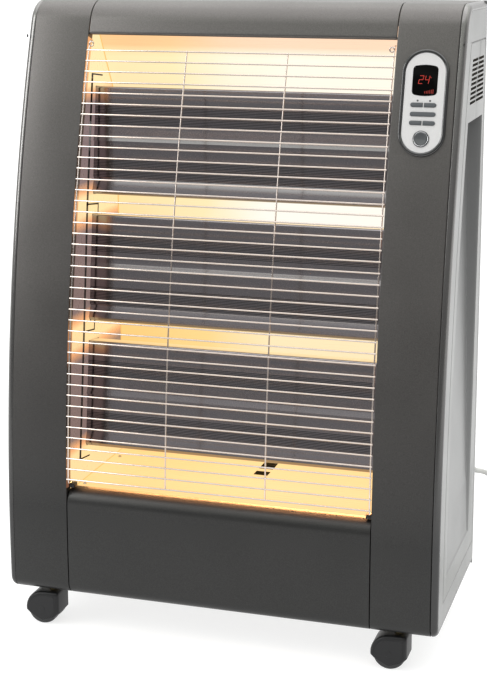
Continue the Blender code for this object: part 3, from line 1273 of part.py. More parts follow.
def hood_outline():
    """Return a caster hood's (x, z) outline about the axle; the stem stands on its square side."""
    points = []
    steps = ROUND_STEPS + 2
    for i in range(steps + 1):
        angle = HOOD_LEFT_ANGLE + (math.pi / 2 - HOOD_LEFT_ANGLE) * i / steps
        points.append((HOOD_RADIUS * math.cos(angle), HOOD_RADIUS * math.sin(angle)))
    points += [
        (CASTER_TRAIL - COLLAR_RADIUS, HOOD_TOP), (HOOD_BLOCK - HOOD_CORNER, HOOD_TOP),
        (HOOD_BLOCK - HOOD_CORNER / 4, HOOD_TOP - HOOD_CORNER / 4), (HOOD_BLOCK, HOOD_TOP - HOOD_CORNER),
        (HOOD_BLOCK, -HOOD_RIGHT_SKIRT), HOOD_RIGHT_SHOULDER, (0, -HOOD_POINT), HOOD_LEFT_SHOULDER,
    ]
    return points


def build_caster(name, x, y, finishes):
    """Build one twin-wheel caster: a hood that swivels and a pair of wheels on one axle."""
    plastic = finishes["black_plastic"]
    axle = Vector((x - CASTER_TRAIL, y, WHEEL_RADIUS))
    swivel = bpy.data.objects.new(f"{name}_swivel_axis", None)
    swivel.location = (x, y, WHEEL_RADIUS)
    bpy.context.collection.objects.link(swivel)

    half = CASTER_WIDTH / 2
    share = HOOD_FACE_RADIUS / HOOD_RADIUS
    plan = ((-half, share), (-half + HOOD_TAPER, 1), (half - HOOD_TAPER, 1), (half, share))
    outline = hood_outline()
    loops = [[axle + Vector((dx * size, across, dz * size)) for dx, dz in outline] for across, size in plan]
    hood = loft(f"{name}_caster_hood", loops, plastic)
    pocket_radius = WHEEL_RADIUS + HOOD_CLEARANCE
    pocket_width = half - HOOD_COVER - WEB_WIDTH / 2
    pocket = [
        (pocket_radius, 0), (pocket_radius, pocket_width - WHEEL_CHAMFER),
        (pocket_radius - WHEEL_CHAMFER, pocket_width),
    ]
    for side in (-1, 1):
        start = y + side * WEB_WIDTH / 2
        cut(hood, turned("pocket", pocket, (axle.x, start, axle.z), (0, side, 0), 24, plastic))
    bore = [(AXLE_RADIUS + GAP, 0), (AXLE_RADIUS + GAP, WEB_WIDTH + 2 * OVERRUN)]
    bore_start = (axle.x, y - WEB_WIDTH / 2 - OVERRUN, axle.z)
    cut(hood, turned("axle_bore", bore, bore_start, (0, 1, 0), 12, plastic))
    pan_bottom = PAN_FLOOR_Z - SHEET
    collar_z = WHEEL_RADIUS + HOOD_TOP - COLLAR_SINK
    collar = [(COLLAR_RADIUS, 0), (COLLAR_RADIUS, pan_bottom - GAP - collar_z)]
    join(hood, turned("stem_collar", collar, (x, y, collar_z), (0, 0, 1), 16, finishes["zinc"]))
    stem_z = pan_bottom - GAP - COLLAR_SINK
    stem = [(STEM_RADIUS, 0), (STEM_RADIUS, pan_bottom + SHEET + SOCKET_HEIGHT - STEM_SHORT - stem_z)]
    join(hood, turned("stem", stem, (x, y, stem_z), (0, 0, 1), 12, finishes["zinc"]))

    near, far = WEB_WIDTH / 2 + GAP, half - HOOD_COVER - GAP
    bevel, edge = WHEEL_CHAMFER, WHEEL_EDGE
    profile = [
        (WHEEL_RADIUS - bevel, -far), (WHEEL_RADIUS, -far + bevel), (WHEEL_RADIUS, -near - edge),
        (WHEEL_RADIUS - edge, -near), (AXLE_RADIUS, -near), (AXLE_RADIUS, near),
        (WHEEL_RADIUS - edge, near), (WHEEL_RADIUS, near + edge), (WHEEL_RADIUS, far - bevel),
        (WHEEL_RADIUS - bevel, far),
    ]
    wheels = turned(f"{name}_caster_wheels", profile, axle, (0, 1, 0), 24, plastic)
    bpy.context.view_layer.update()
    for piece in (hood, wheels):
        piece.parent = swivel
        piece.matrix_parent_inverse = swivel.matrix_world.inverted()


def coil_points():
    """Return the coil's points: loops wind in on the floor, then out again on top."""
    diameter = CORD_DIAMETER
    step = COIL_STEP_DIAMETERS * diameter
    total = COIL_LOOPS * COIL_POINTS_PER_LOOP
    half = total / 2
    climb = COIL_POINTS_PER_LOOP / 2
    lift = COIL_POINTS_PER_LOOP / 4
    outermost = COIL_TURN_DIAMETERS * diameter / 2 + step * COIL_LOOPS / 4
    low = diameter / 2 + GAP
    points = []
    for i in range(total + 1):
        angle = math.pi / 2 - math.tau * i / COIL_POINTS_PER_LOOP
        radius = outermost - step * min(i, total - i) / COIL_POINTS_PER_LOOP
        z = low + step * ease((i - half) / climb + 1 / 2)
        swing = ease((i - total + lift + 1) / lift)
        radius += PLUG_SWING_DIAMETERS * diameter * swing
        z += (PLUG_RADIUS + GAP - low - step) * swing
        points.append(Vector((COIL_X + radius * math.cos(angle), COIL_Y + radius * math.sin(angle), z)))
    return points


def ease(share):
    """Return a smooth step from 0 to 1."""
    share = min(max(share, 0.0), 1.0)
    return share * share * (3 - 2 * share)


def least_gap(points, diameter):
    """Return the smallest distance between far-apart stretches of a tube, less its diameter."""
    window = COIL_POINTS_PER_LOOP // 2
    best = math.inf
    for i, first in enumerate(points):
        for second in points[i + window:]:
            best = min(best, (first - second).length)
    return best - diameter


def build_cord(finishes):
    """Build the gland, the free lead, its coil on the floor and the plug."""
    grey = finishes["cord_grey"]
    exit_y = REAR_Y + GAP
    gland = [
        (GLAND_FLANGE_RADIUS, 0), (GLAND_FLANGE_RADIUS, GLAND_FLANGE), (GLAND_ROOT_RADIUS, GLAND_FLANGE),
        (GLAND_TIP_RADIUS, GLAND_LENGTH),
    ]
    turned("cord_gland", gland, (GLAND_X, exit_y, GLAND_Z), (0, 1, 0), 16, finishes["black_plastic"])

    coil = coil_points()
    start_direction = (coil[0] - coil[1]).normalized()
    end_direction = (coil[-1] - coil[-2]).normalized()
    coil.insert(0, coil[0] + start_direction * CORD_DIAMETER)
    coil.append(coil[-1] + end_direction * CORD_DIAMETER)
    print(f"coil: least gap to itself {least_gap(coil, CORD_DIAMETER) * 1000:.2f} mm")
    coil_tube = add_tube("cord_coil", coil, CORD_DIAMETER, COIL_SIDES_RESOLUTION, grey)
    coil_tube.data.name = "cord_coil"

    tip = Vector((GLAND_X, exit_y + GLAND_LENGTH + GAP, GLAND_Z))
    meet = coil[0] + start_direction * GAP
    route = [tip, tip + Vector((0, CORD_DIAMETER, 0))]
    route += [Vector(point) for point in CORD_ROUTE]
    route += [meet + start_direction * CORD_DIAMETER, meet]
    points = smooth_points(route, CORD_DIAMETER * POINT_SPACING_DIAMETERS)
    add_tube("mains_cord", points, CORD_DIAMETER, CORD_SIDES_RESOLUTION, grey)

    end = coil[-1] + end_direction * GAP
    build_plug(end, end_direction, finishes)


def build_plug(start, direction, finishes):
    """Build the round plug, lying where the coil's last turn ends."""
    axis = Vector((direction.x, direction.y, 0)).normalized()
    neck, body = PLUG_NECK_LENGTH, PLUG_LENGTH
    profile = [
        (CORD_DIAMETER / 2, 0), (PLUG_NECK_RADIUS, neck), (PLUG_RADIUS, neck + PLUG_NECK_RADIUS),
        (PLUG_RADIUS, neck + body),
    ]
    plug = turned("mains_plug", profile, start, axis, 20, finishes["black_plastic"])
    across = axis.cross(Vector((0, 0, 1)))
    for side in (-1, 1):
        root = start + axis * (neck + body - OVERRUN) + across * side * PIN_SPACING / 2
        pin = [(PIN_RADIUS, 0), (PIN_RADIUS, PIN_LENGTH + OVERRUN)]
        join(plug, turned("pin", pin, root, axis, 12, finishes["chrome_wire"]))


# The free lead's own points: back from the gland, round to the right and down to the coil
CORD_ROUTE = (
    (0.3337, 0.2104, 0.1950),
    (0.3478, 0.2404, 0.1820),
    (0.3640, 0.2600, 0.1500),
    (0.3740, 0.2580, 0.1050),
    (0.3800, 0.2420, 0.0560),
    (0.3900, 0.2210, 0.0180),
    (0.4100, 0.2095, 0.0050),
    (0.4300, 0.2085, 0.0046),
)


def clear_scene():
    """Remove every object of the open scene."""
    for thing in list(bpy.data.objects):
        bpy.data.objects.remove(thing, do_unlink=True)


def shade_pieces():
    """Shade every mesh smooth, with its sharp edges kept."""
    for thing in bpy.context.collection.objects:
        if thing.type == "MESH":
            thing.data.shade_smooth()
            thing.data.set_sharp_from_angle(angle=math.radians(30))


def main():
    """Build the whole heater."""
    clear_scene()
    finishes = make_finishes()
    build_pillar(-1, finishes)
    right_pillar = build_pillar(1, finishes)
    build_top_panel(finishes)
    build_lower_panel(finishes)
    for side in (-1, 1):
        build_edge_trim(side, finishes)
        build_side_panel(side, finishes)
    build_top_plate(finishes)
    build_rear_cover(finishes)
    build_base_pan(finishes)
    build_guard(finishes)
    build_guard_clips(finishes)
    for index, name in enumerate(("emitter_top", "emitter_middle", "emitter_bottom")):
        build_emitter(index, name, finishes)
    build_reflectors(finishes)
    build_gas_path(finishes)
    build_burner(finishes)
    build_fuel_system(finishes)
    build_controls(right_pillar, finishes)
    for name, x, y in caster_places():
        build_caster(name, x, y, finishes)
    build_cord(finishes)
    shade_pieces()


if __name__ == "__main__":
    main()
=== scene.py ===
"""Looks of an oil-fired infrared heater on casters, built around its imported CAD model.

The heater stands on the floor at the origin with its wire guard towards -Y. Each sub-assembly is a
class that holds its sizes in metres, models its pieces and dresses them.
"""

from __future__ import annotations

import logging
import math
from dataclasses import dataclass, field
from enum import Enum
from typing import Callable, Iterable, Sequence

import bmesh
import bpy
from mathutils import Matrix, Vector

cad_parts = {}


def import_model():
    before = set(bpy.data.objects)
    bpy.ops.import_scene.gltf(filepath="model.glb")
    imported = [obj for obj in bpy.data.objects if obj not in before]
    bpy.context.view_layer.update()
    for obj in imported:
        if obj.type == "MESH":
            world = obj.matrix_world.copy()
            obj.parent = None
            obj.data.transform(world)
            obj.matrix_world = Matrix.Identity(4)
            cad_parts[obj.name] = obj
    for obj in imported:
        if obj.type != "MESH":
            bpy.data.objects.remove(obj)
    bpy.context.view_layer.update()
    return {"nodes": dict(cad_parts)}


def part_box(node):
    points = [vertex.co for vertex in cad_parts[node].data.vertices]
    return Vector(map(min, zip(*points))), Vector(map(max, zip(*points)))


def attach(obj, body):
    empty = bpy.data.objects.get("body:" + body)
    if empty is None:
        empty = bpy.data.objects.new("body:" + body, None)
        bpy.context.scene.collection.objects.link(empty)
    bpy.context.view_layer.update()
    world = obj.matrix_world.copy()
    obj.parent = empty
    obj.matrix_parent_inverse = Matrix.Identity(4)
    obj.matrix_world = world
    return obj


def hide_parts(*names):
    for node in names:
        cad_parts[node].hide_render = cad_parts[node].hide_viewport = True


LOG = logging.getLogger("heater")
SMOOTH_ANGLE = math.radians(32.0)
QUARTER = math.pi / 2
SLOW_WAVES = 9.0

BMesh = bmesh.types.BMesh
Piece = bpy.types.Object
Socket = bpy.types.NodeSocket
Point = tuple[float, float]
Profile = tuple[Point, ...]
Spot = tuple[float, float, float]
Tint = tuple[float, float, float]
Station = tuple[Vector, Vector]
Stops = tuple[tuple[float, Tint], ...]


def dimmed(tint: Sequence[float], share: float) -> list[float]:
    """Return a colour times a share, at most 1 in each channel."""
    return [min(1.0, channel * share) for channel in tint]


def ease(share: float) -> float:
    """Return a smooth step from 0 to 1."""
    share = min(max(share, 0.0), 1.0)
    return share * share * (3 - 2 * share)


class Side(Enum):
    """The heater's left and right, as the sign of X."""

    LEFT = -1
    RIGHT = 1

    @property
    def word(self) -> str:
        """Return the side's name."""
        return "left" if self is Side.LEFT else "right"


class Mains(Enum):
    FAR_END = "plug"
    STIFFNESS = "medium"
    LAY = "coiled"


# ---------------------------------------------------------------- finishes


class NodeBoard:
    """A material's or a world's nodes, with short calls for those that the finishes and the studio use."""

    def __init__(self, owner: bpy.types.Material | bpy.types.World, output: str = "Object") -> None:
        """Start on a material or a world.

        Args:
            owner: what the nodes belong to.
            output: the coordinates that the patterns read.
        """
        owner.use_nodes = True
        self.owner, self.tree = owner, owner.node_tree
        self.shader = self.tree.nodes.get("Principled BSDF")
        self.place = self.add("ShaderNodeTexCoord").outputs[output]

    def add(self, kind: str, **values: object) -> bpy.types.Node:
        """Add a node.

        Args:
            kind: the node's type name.
            values: properties of the node, by name.

        Returns:
            The node.
        """
        node = self.tree.nodes.new(kind)
        for name, value in values.items():
            setattr(node, name, value)
        return node

    def link(self, start: Socket, end: Socket) -> None:
        """Join two sockets."""
        self.tree.links.new(start, end)

    def drive(self, name: str, value: Socket) -> None:
        """Let a value drive one of the shader's sockets."""
        self.link(value, self.shader.inputs[name])

    def maths(self, operation: str, *values: Socket) -> Socket:
        """Work on one or two numbers.

        Args:
            operation: the Math node's operation.
            values: the numbers.

        Returns:
            The result.
        """
        node = self.add("ShaderNodeMath", operation=operation)
        for value, socket in zip(values, node.inputs):
            self.link(value, socket)
        return node.outputs["Value"]

    def blend(self, operation: str, colour: Socket, other: Socket) -> Socket:
        """Work on a colour.

        Args:
            operation: the Vector Math node's operation.
            colour: the colour.
            other: a second colour, or the number that SCALE takes.

        Returns:
            The new colour.
        """
        node = self.add("ShaderNodeVectorMath", operation=operation)
        self.link(colour, node.inputs[0])
        self.link(other, node.inputs["Scale" if operation == "SCALE" else 1])
        return node.outputs["Vector"]

    def set(self, **values: object) -> None:
        """Set the shader's own sockets; underscores in a name stand for spaces."""
        for name, value in values.items():
            self.shader.inputs[name.replace("_", " ")].default_value = value

    def noise(self, scale: float, detail: float = 2.0, stretch: Vector | None = None) -> Socket:
        """Add a noise pattern.

        Args:
            scale: waves per metre.
            detail: the number of finer layers.
            stretch: how much finer the pattern is along each axis.

        Returns:
            The pattern's value, about 0.5 on average.
        """
        source = self.place
        if stretch is not None:
            mapping = self.add("ShaderNodeMapping")
            mapping.inputs["Scale"].default_value = stretch
            self.link(source, mapping.inputs["Vector"])
            source = mapping.outputs["Vector"]
        noise = self.add("ShaderNodeTexNoise")
        noise.inputs["Scale"].default_value = scale
        noise.inputs["Detail"].default_value = detail
        self.link(source, noise.inputs["Vector"])
        return noise.outputs["Fac"]

    def ramp(self, value: Socket, stops: Sequence[tuple[float, Sequence[float]]]) -> Socket:
        """Turn a value into a colour.

        Args:
            value: the value to read.
            stops: (position, colour) pairs in rising order.

        Returns:
            The colour.
        """
        ramp = self.add("ShaderNodeValToRGB")
        elements = ramp.color_ramp.elements
        while len(elements) < len(stops):
            elements.new(1.0)
        for element, (position, colour) in zip(elements, stops):
            element.position = position
            element.color = (*colour[:3], 1.0)
        self.link(value, ramp.inputs["Fac"])
        return ramp.outputs["Color"]

    def spread(
        self, value: Socket, low: float, high: float, start: float = 0.3, end: float = 0.7
    ) -> Socket:
        """Stretch a value from one range to another.

        Args:
            value: the value to read.
            low: the result at start.
            high: the result at end.
            start: the first range's low end.
            end: its high end.

        Returns:
            The stretched value.
        """
        node = self.add("ShaderNodeMapRange")
        for name, number in (("From Min", start), ("From Max", end), ("To Min", low), ("To Max", high)):
            node.inputs[name].default_value = number
        self.link(value, node.inputs["Value"])
        return node.outputs["Result"]

    def bump(self, height: Socket, distance: float) -> None:
        """Raise the surface by a pattern.

        Args:
            height: the pattern.
            distance: how far it raises the surface at most.
        """
        node = self.add("ShaderNodeBump")
        node.inputs["Distance"].default_value = distance
        node.inputs["Strength"].default_value = 1.0
        self.link(height, node.inputs["Height"])
        self.drive("Normal", node.outputs["Normal"])

    def axis(self, name: str) -> Socket:
        """Return one of the coordinates, X, Y or Z."""
        node = self.add("ShaderNodeSeparateXYZ")
        self.link(self.place, node.inputs["Vector"])
        return node.outputs[name]


@dataclass(frozen=True)
class Paint:
    """Satin paint: a tint with a fine grain and a slow drift in gloss.

    A second tint may take over along an Object axis, between two places.
    """

    name: str
    tint: Tint
    metallic: float = 0.35
    roughness: float = 0.38
    grain: float = 900.0
    grain_depth: float = 0.00004
    contrast: float = 0.16
    coat: float = 0.0
    gloss: float = 0.5
    other: Tint | None = None
    axis: str = "Z"
    reach: tuple[float, float] = (0.0, 1.0)

    def make(self) -> bpy.types.Material:
        """Make the finish.

        Returns:
            The material.
        """
        board = NodeBoard(bpy.data.materials.new(self.name))
        board.set(
            Metallic=self.metallic, Coat_Weight=self.coat, Coat_Roughness=0.12, Specular_IOR_Level=self.gloss
        )
        grain = board.noise(self.grain, 3.0)
        share = board.spread(grain, 1 - self.contrast, 1 + self.contrast, 0.36, 0.64)
        along = board.spread(board.maths("ABSOLUTE", board.axis(self.axis)), 0.0, 1.0, *self.reach)
        tint = board.ramp(along, ((0.0, self.tint), (1.0, self.other or self.tint)))
        board.drive("Base Color", board.blend("SCALE", tint, share))
        drift = board.noise(SLOW_WAVES)
        board.drive("Roughness", board.spread(drift, self.roughness * 0.92, self.roughness * 1.1))
        board.bump(grain, self.grain_depth)
        return board.owner


@dataclass(frozen=True)
class Metal:
    """Bare or plated metal, with fine streaks along one axis."""

    name: str
    tint: Tint
    roughness: float = 0.25
    streaks: tuple[float, float, float] = (1.0, 1.0, 1.0)
    streak_scale: float = 400.0
    contrast: float = 0.10

    def make(self) -> bpy.types.Material:
        """Make the finish.

        Returns:
            The material.
        """
        board = NodeBoard(bpy.data.materials.new(self.name))
        board.set(Metallic=1.0)
        dark = dimmed(self.tint, 1 - self.contrast)
        streaks = board.noise(self.streak_scale, 4.0, Vector(self.streaks))
        board.drive("Base Color", board.ramp(streaks, ((0.3, dark), (0.7, self.tint))))
        drift = 2.2 * self.contrast
        board.drive("Roughness", board.spread(streaks, self.roughness * (1 + drift), self.roughness * (1 - drift)))
        return board.owner


@dataclass(frozen=True)
class Plastic:
    """Moulded plastic with a spark-eroded grain."""

    name: str
    tint: Tint
    roughness: float = 0.4
    grain: float = 1600.0
    grain_depth: float = 0.00003
    coat: float = 0.0
    contrast: float = 0.06
    gloss: float = 0.5

    def make(self) -> bpy.types.Material:
        """Make the finish.

        Returns:
            The material.
        """
        board = NodeBoard(bpy.data.materials.new(self.name))
        board.set(Coat_Weight=self.coat, Coat_Roughness=0.08, Specular_IOR_Level=self.gloss)
        dark, light = (dimmed(self.tint, 1 + turn * self.contrast) for turn in (-1, 1))
        grain = board.noise(self.grain)
        board.drive("Base Color", board.ramp(grain, ((0.35, dark), (0.65, light))))
        board.drive("Roughness", board.spread(grain, self.roughness * 0.93, self.roughness * 1.07))
        board.bump(grain, self.grain_depth)
        return board.owner


@dataclass(frozen=True)
class GlowingSheet:
    """Bright reflector sheet with its light painted on as a glow, paler where the painted light is strongest.

    The painted glow follows one Object axis; a painted shade along a second axis is laid over it. The shades may
    repeat within the second axis's reach. The sheet's far side, told by a third axis, stays dark.
    """

    name: str
    axis: str
    reach: tuple[float, float]
    stops: Stops
    other: str
    other_reach: tuple[float, float]
    shades: Stops
    strength: float = 1.0
    repeats: int = 0
    depth: str = "Y"
    lit: tuple[float, float] = (2.0, 1.0)
    base: Tint = (0.13, 0.11, 0.08)

    def make(self) -> bpy.types.Material:
        """Make the finish.

        Returns:
            The material.
        """
        board = NodeBoard(bpy.data.materials.new(self.name))
        board.set(Metallic=0.3, Emission_Strength=self.strength, Specular_IOR_Level=0.3)
        along = board.spread(board.axis(self.axis), 0.0, 1.0, *self.reach)
        waves = board.spread(board.noise(SLOW_WAVES), -0.03, 0.03)
        glow = board.ramp(board.maths("ADD", along, waves), self.stops)
        value = board.spread(board.axis(self.other), 0.0, float(self.repeats or 1), *self.other_reach)
        if self.repeats:
            value = board.maths("FRACT", value)
        shaded = board.blend("MULTIPLY", glow, board.ramp(value, self.shades))
        near = board.spread(board.maths("ABSOLUTE", board.axis(self.depth)), 0.0, 1.0, *self.lit)
        board.drive("Emission Color", board.blend("SCALE", shaded, near))
        brushed = board.noise(220.0, 4.0, Vector((0.06, 1.0, 1.0)))
        board.drive("Base Color", board.ramp(brushed, ((0.3, dimmed(self.base, 0.77)), (0.7, self.base))))
        board.drive("Roughness", board.spread(brushed, 0.24, 0.40))
        return board.owner


@dataclass(frozen=True)
class Lamp:
    """A lit surface of one colour."""

    name: str
    tint: Tint
    strength: float

    def make(self) -> bpy.types.Material:
        """Make the finish.

        Returns:
            The material.
        """
        board = NodeBoard(bpy.data.materials.new(self.name))
        board.set(Emission_Strength=self.strength, Emission_Color=(*self.tint, 1.0), Roughness=0.5)
        flicker = board.noise(900.0, 1.0)
        board.drive("Base Color", board.ramp(flicker, ((0.3, dimmed(self.tint, 0.15)), (0.7, dimmed(self.tint, 0.2)))))
        return board.owner


# Colours of the painted light on the reflectors, and of the reddish painted fringe and dim painted shade beside the
# emitters.
WHITE, CREAM, AMBER = (1.0, 0.97, 0.88), (1.0, 0.83, 0.49), (1.0, 0.74, 0.37)
PALE = (1.0, 0.95, 0.82)
PAINTED_FRINGE, PAINTED_SHADE = (0.92, 0.58, 0.50), (0.215, 0.20, 0.385)
PLAIN, SHADOW = (1.0, 1.0, 1.0), (0.07, 0.09, 0.15)
ACROSS = (-0.24, 0.24)
FINISHES: tuple[Paint | Metal | Plastic | GlowingSheet | Lamp, ...] = (
    # Painted light: the tint grows lighter and warmer towards the top, for the light from above and the glow's warm
    # cast.
    Paint(
        "graphite_paint", (0.040, 0.040, 0.0395), 0.75, 0.38, contrast=0.15, gloss=0.45,
        other=(0.134, 0.127, 0.122), reach=(0.20, 0.56),
    ),
    # Painted light: the tint grows lighter towards the top, as on the pillars.
    Paint(
        "trim_paint", (0.058, 0.058, 0.058), 0.85, 0.22, contrast=0.06,
        other=(0.20, 0.195, 0.19), reach=(0.20, 0.62),
    ),
    # Painted shade: the tint is darker where the panel is pressed in, in the recess and the grooves.
    Paint(
        "side_paint", (0.225, 0.225, 0.225), 0.2, 0.34, contrast=0.05,
        other=(0.258, 0.258, 0.255), axis="X", reach=(0.3398, 0.3412),
    ),
    Paint("rear_paint", (0.30, 0.30, 0.30), 0.3, 0.42, contrast=0.08),
    Metal("emitter_coat", (0.34, 0.32, 0.335), 0.14, (0.05, 1.0, 1.0), contrast=0.012),
    Paint("tank_paint", (0.16, 0.17, 0.18), 0.3, 0.4),
    # The chrome's warm tint is partly its own and partly a painted warm reflection of the glow.
    Metal("chrome_wire", (0.71, 0.63, 0.575), 0.12, contrast=0.04),
    Metal("chrome_ring", (0.92, 0.92, 0.94), 0.22, contrast=0.04),
    Metal("zinc_plate", (0.78, 0.62, 0.30), 0.30),
    Metal("duct_steel", (0.50, 0.49, 0.47), 0.38, (1.0, 1.0, 0.05)),
    Metal("cast_alloy", (0.55, 0.55, 0.56), 0.5, contrast=0.2),
    Metal("brass", (0.80, 0.58, 0.26), 0.28),
    Metal("screw_steel", (0.62, 0.61, 0.60), 0.3),
    Plastic("black_plastic", (0.011, 0.011, 0.012), 0.40, gloss=0.32),
    Plastic("wheel_rubber", (0.020, 0.020, 0.021), 0.5, grain=900.0),
    Plastic("disc_plastic", (0.014, 0.014, 0.015), 0.42, grain=2000.0, gloss=0.32),
    Plastic("key_plastic", (0.085, 0.092, 0.10), 0.45),
    Plastic("button_plastic", (0.07, 0.075, 0.08), 0.25, coat=0.6),
    Plastic("white_face", (0.69, 0.68, 0.68), 0.34),
    Plastic("bezel_gloss", (0.012, 0.012, 0.013), 0.14, coat=1.0, grain_depth=0.00001),
    Plastic("window_gloss", (0.002, 0.002, 0.002), 0.07, grain_depth=0.0, gloss=0.05),
    Plastic("board_green", (0.02, 0.16, 0.07), 0.5),
    Plastic("cap_red", (0.50, 0.035, 0.02), 0.4),
    Plastic("cord_sheath", (0.50, 0.50, 0.48), 0.55, grain=700.0),
    Plastic("mark_grey", (0.03, 0.03, 0.03), 0.5),
    # Black: the side screws' own colour, and painted shade on the emitters' groove floors.
    Plastic("black_and_groove_shade", (0.012, 0.010, 0.010), 0.7),
    Lamp("digit_red", (0.9, 0.05, 0.025), 0.45),
    Lamp("digit_dim", (0.5, 0.03, 0.015), 0.5),
    # Painted highlight: the thin lit lines along the side plates' creases, which are no lamps.
    Lamp("crease_painted_highlight", (0.86, 0.52, 0.16), 0.95),
    # Painted light on the upper reflector, paler to the right, with a warm painted shade along its top.
    GlowingSheet(
        "top_painted_light", "X", ACROSS, (
            (0.0, (1.0, 0.79, 0.45)), (0.22, CREAM), (0.42, (1.0, 0.91, 0.72)), (0.6, PALE), (1.0, PALE)
        ),
        "Z", (0.885, 0.905), ((0.0, PLAIN), (0.5, (1.0, 0.93, 0.88)), (1.0, (1.0, 0.72, 0.60))),
    ),
    # Painted light on the rear reflector, whitest right of the middle, with a warmer painted shade lower down; its rear
    # face stays dark.
    GlowingSheet(
        "back_painted_light", "X", ACROSS, ((0.0, AMBER), (0.3, CREAM), (0.55, WHITE), (0.9, WHITE), (1.0, CREAM)),
        "Z", (0.50, 0.62), ((0.0, (1.0, 0.84, 0.58)), (1.0, PLAIN)), lit=(0.0644, 0.0641),
    ),
    # Painted light on the lower reflector, amber, with a faint painted shade at its front and rear edges.
    GlowingSheet(
        "floor_painted_light", "X", ACROSS, ((0.0, (1.0, 0.63, 0.27)), (0.5, (1.0, 0.67, 0.30)), (1.0, (1.0, 0.64, 0.28))),
        "Y", (-0.15, 0.06), ((0.0, (1.0, 0.93, 0.85)), (0.5, PLAIN), (1.0, (1.0, 0.95, 0.88))),
    ),
    # Painted light on the side plates, with painted shade beside each emitter and a reddish painted fringe round it;
    # the outer face stays dark.
    GlowingSheet(
        "side_painted_light", "Z", (0.23, 0.90), (
            (0.0, (0.90, 0.64, 0.32)), (0.5, (0.94, 0.68, 0.34)), (0.75, (0.95, 0.72, 0.39)), (1.0, (0.95, 0.74, 0.41))
        ),
        "Z", (0.2627, 0.8573), (
            (0.0, PLAIN), (0.07, PLAIN), (0.12, PAINTED_FRINGE), (0.20, PAINTED_SHADE), (0.80, PAINTED_SHADE), (0.88, PAINTED_FRINGE), (0.93, PLAIN),
            (1.0, PLAIN),
        ), repeats=3, depth="X", lit=(0.2423, 0.2419),
    ),
    # Painted reflection of the glow on the pillars' inner flanges, with a painted shadow beside each emitter.
    GlowingSheet(
        "flange_painted_reflection", "Z", (0.24, 0.90), (
            (0.0, (0.20, 0.08, 0.04)), (0.4, (0.48, 0.19, 0.07)), (0.7, (0.75, 0.34, 0.13)), (1.0, (0.87, 0.40, 0.155))
        ),
        "Z", (0.2627, 0.8573), (
            (0.0, PLAIN), (0.08, PLAIN), (0.20, SHADOW), (0.80, SHADOW), (0.92, PLAIN), (1.0, PLAIN),
        ), repeats=3, base=(0.05, 0.048, 0.046),
    ),
    # Painted reflection of the reflectors' glow on the emitters' upward and downward faces, dimmer towards the front.
    GlowingSheet(
        "skirt_painted_reflection", "X", ACROSS, ((0.0, AMBER), (0.4, CREAM), (1.0, CREAM)),
        "Y", (-0.10, 0.05), ((0.0, (0.75, 0.62, 0.52)), (1.0, PLAIN)), 0.8,
    ),
)


class Finishes:
    """Every material of the heater, made once."""

    def __init__(self) -> None:
        """Make the materials."""
        self.table = {finish.name: finish.make() for finish in FINISHES}

    def __getitem__(self, name: str) -> bpy.types.Material:
        """Return a material by name."""
        return self.table[name]


# ---------------------------------------------------------------- modelling


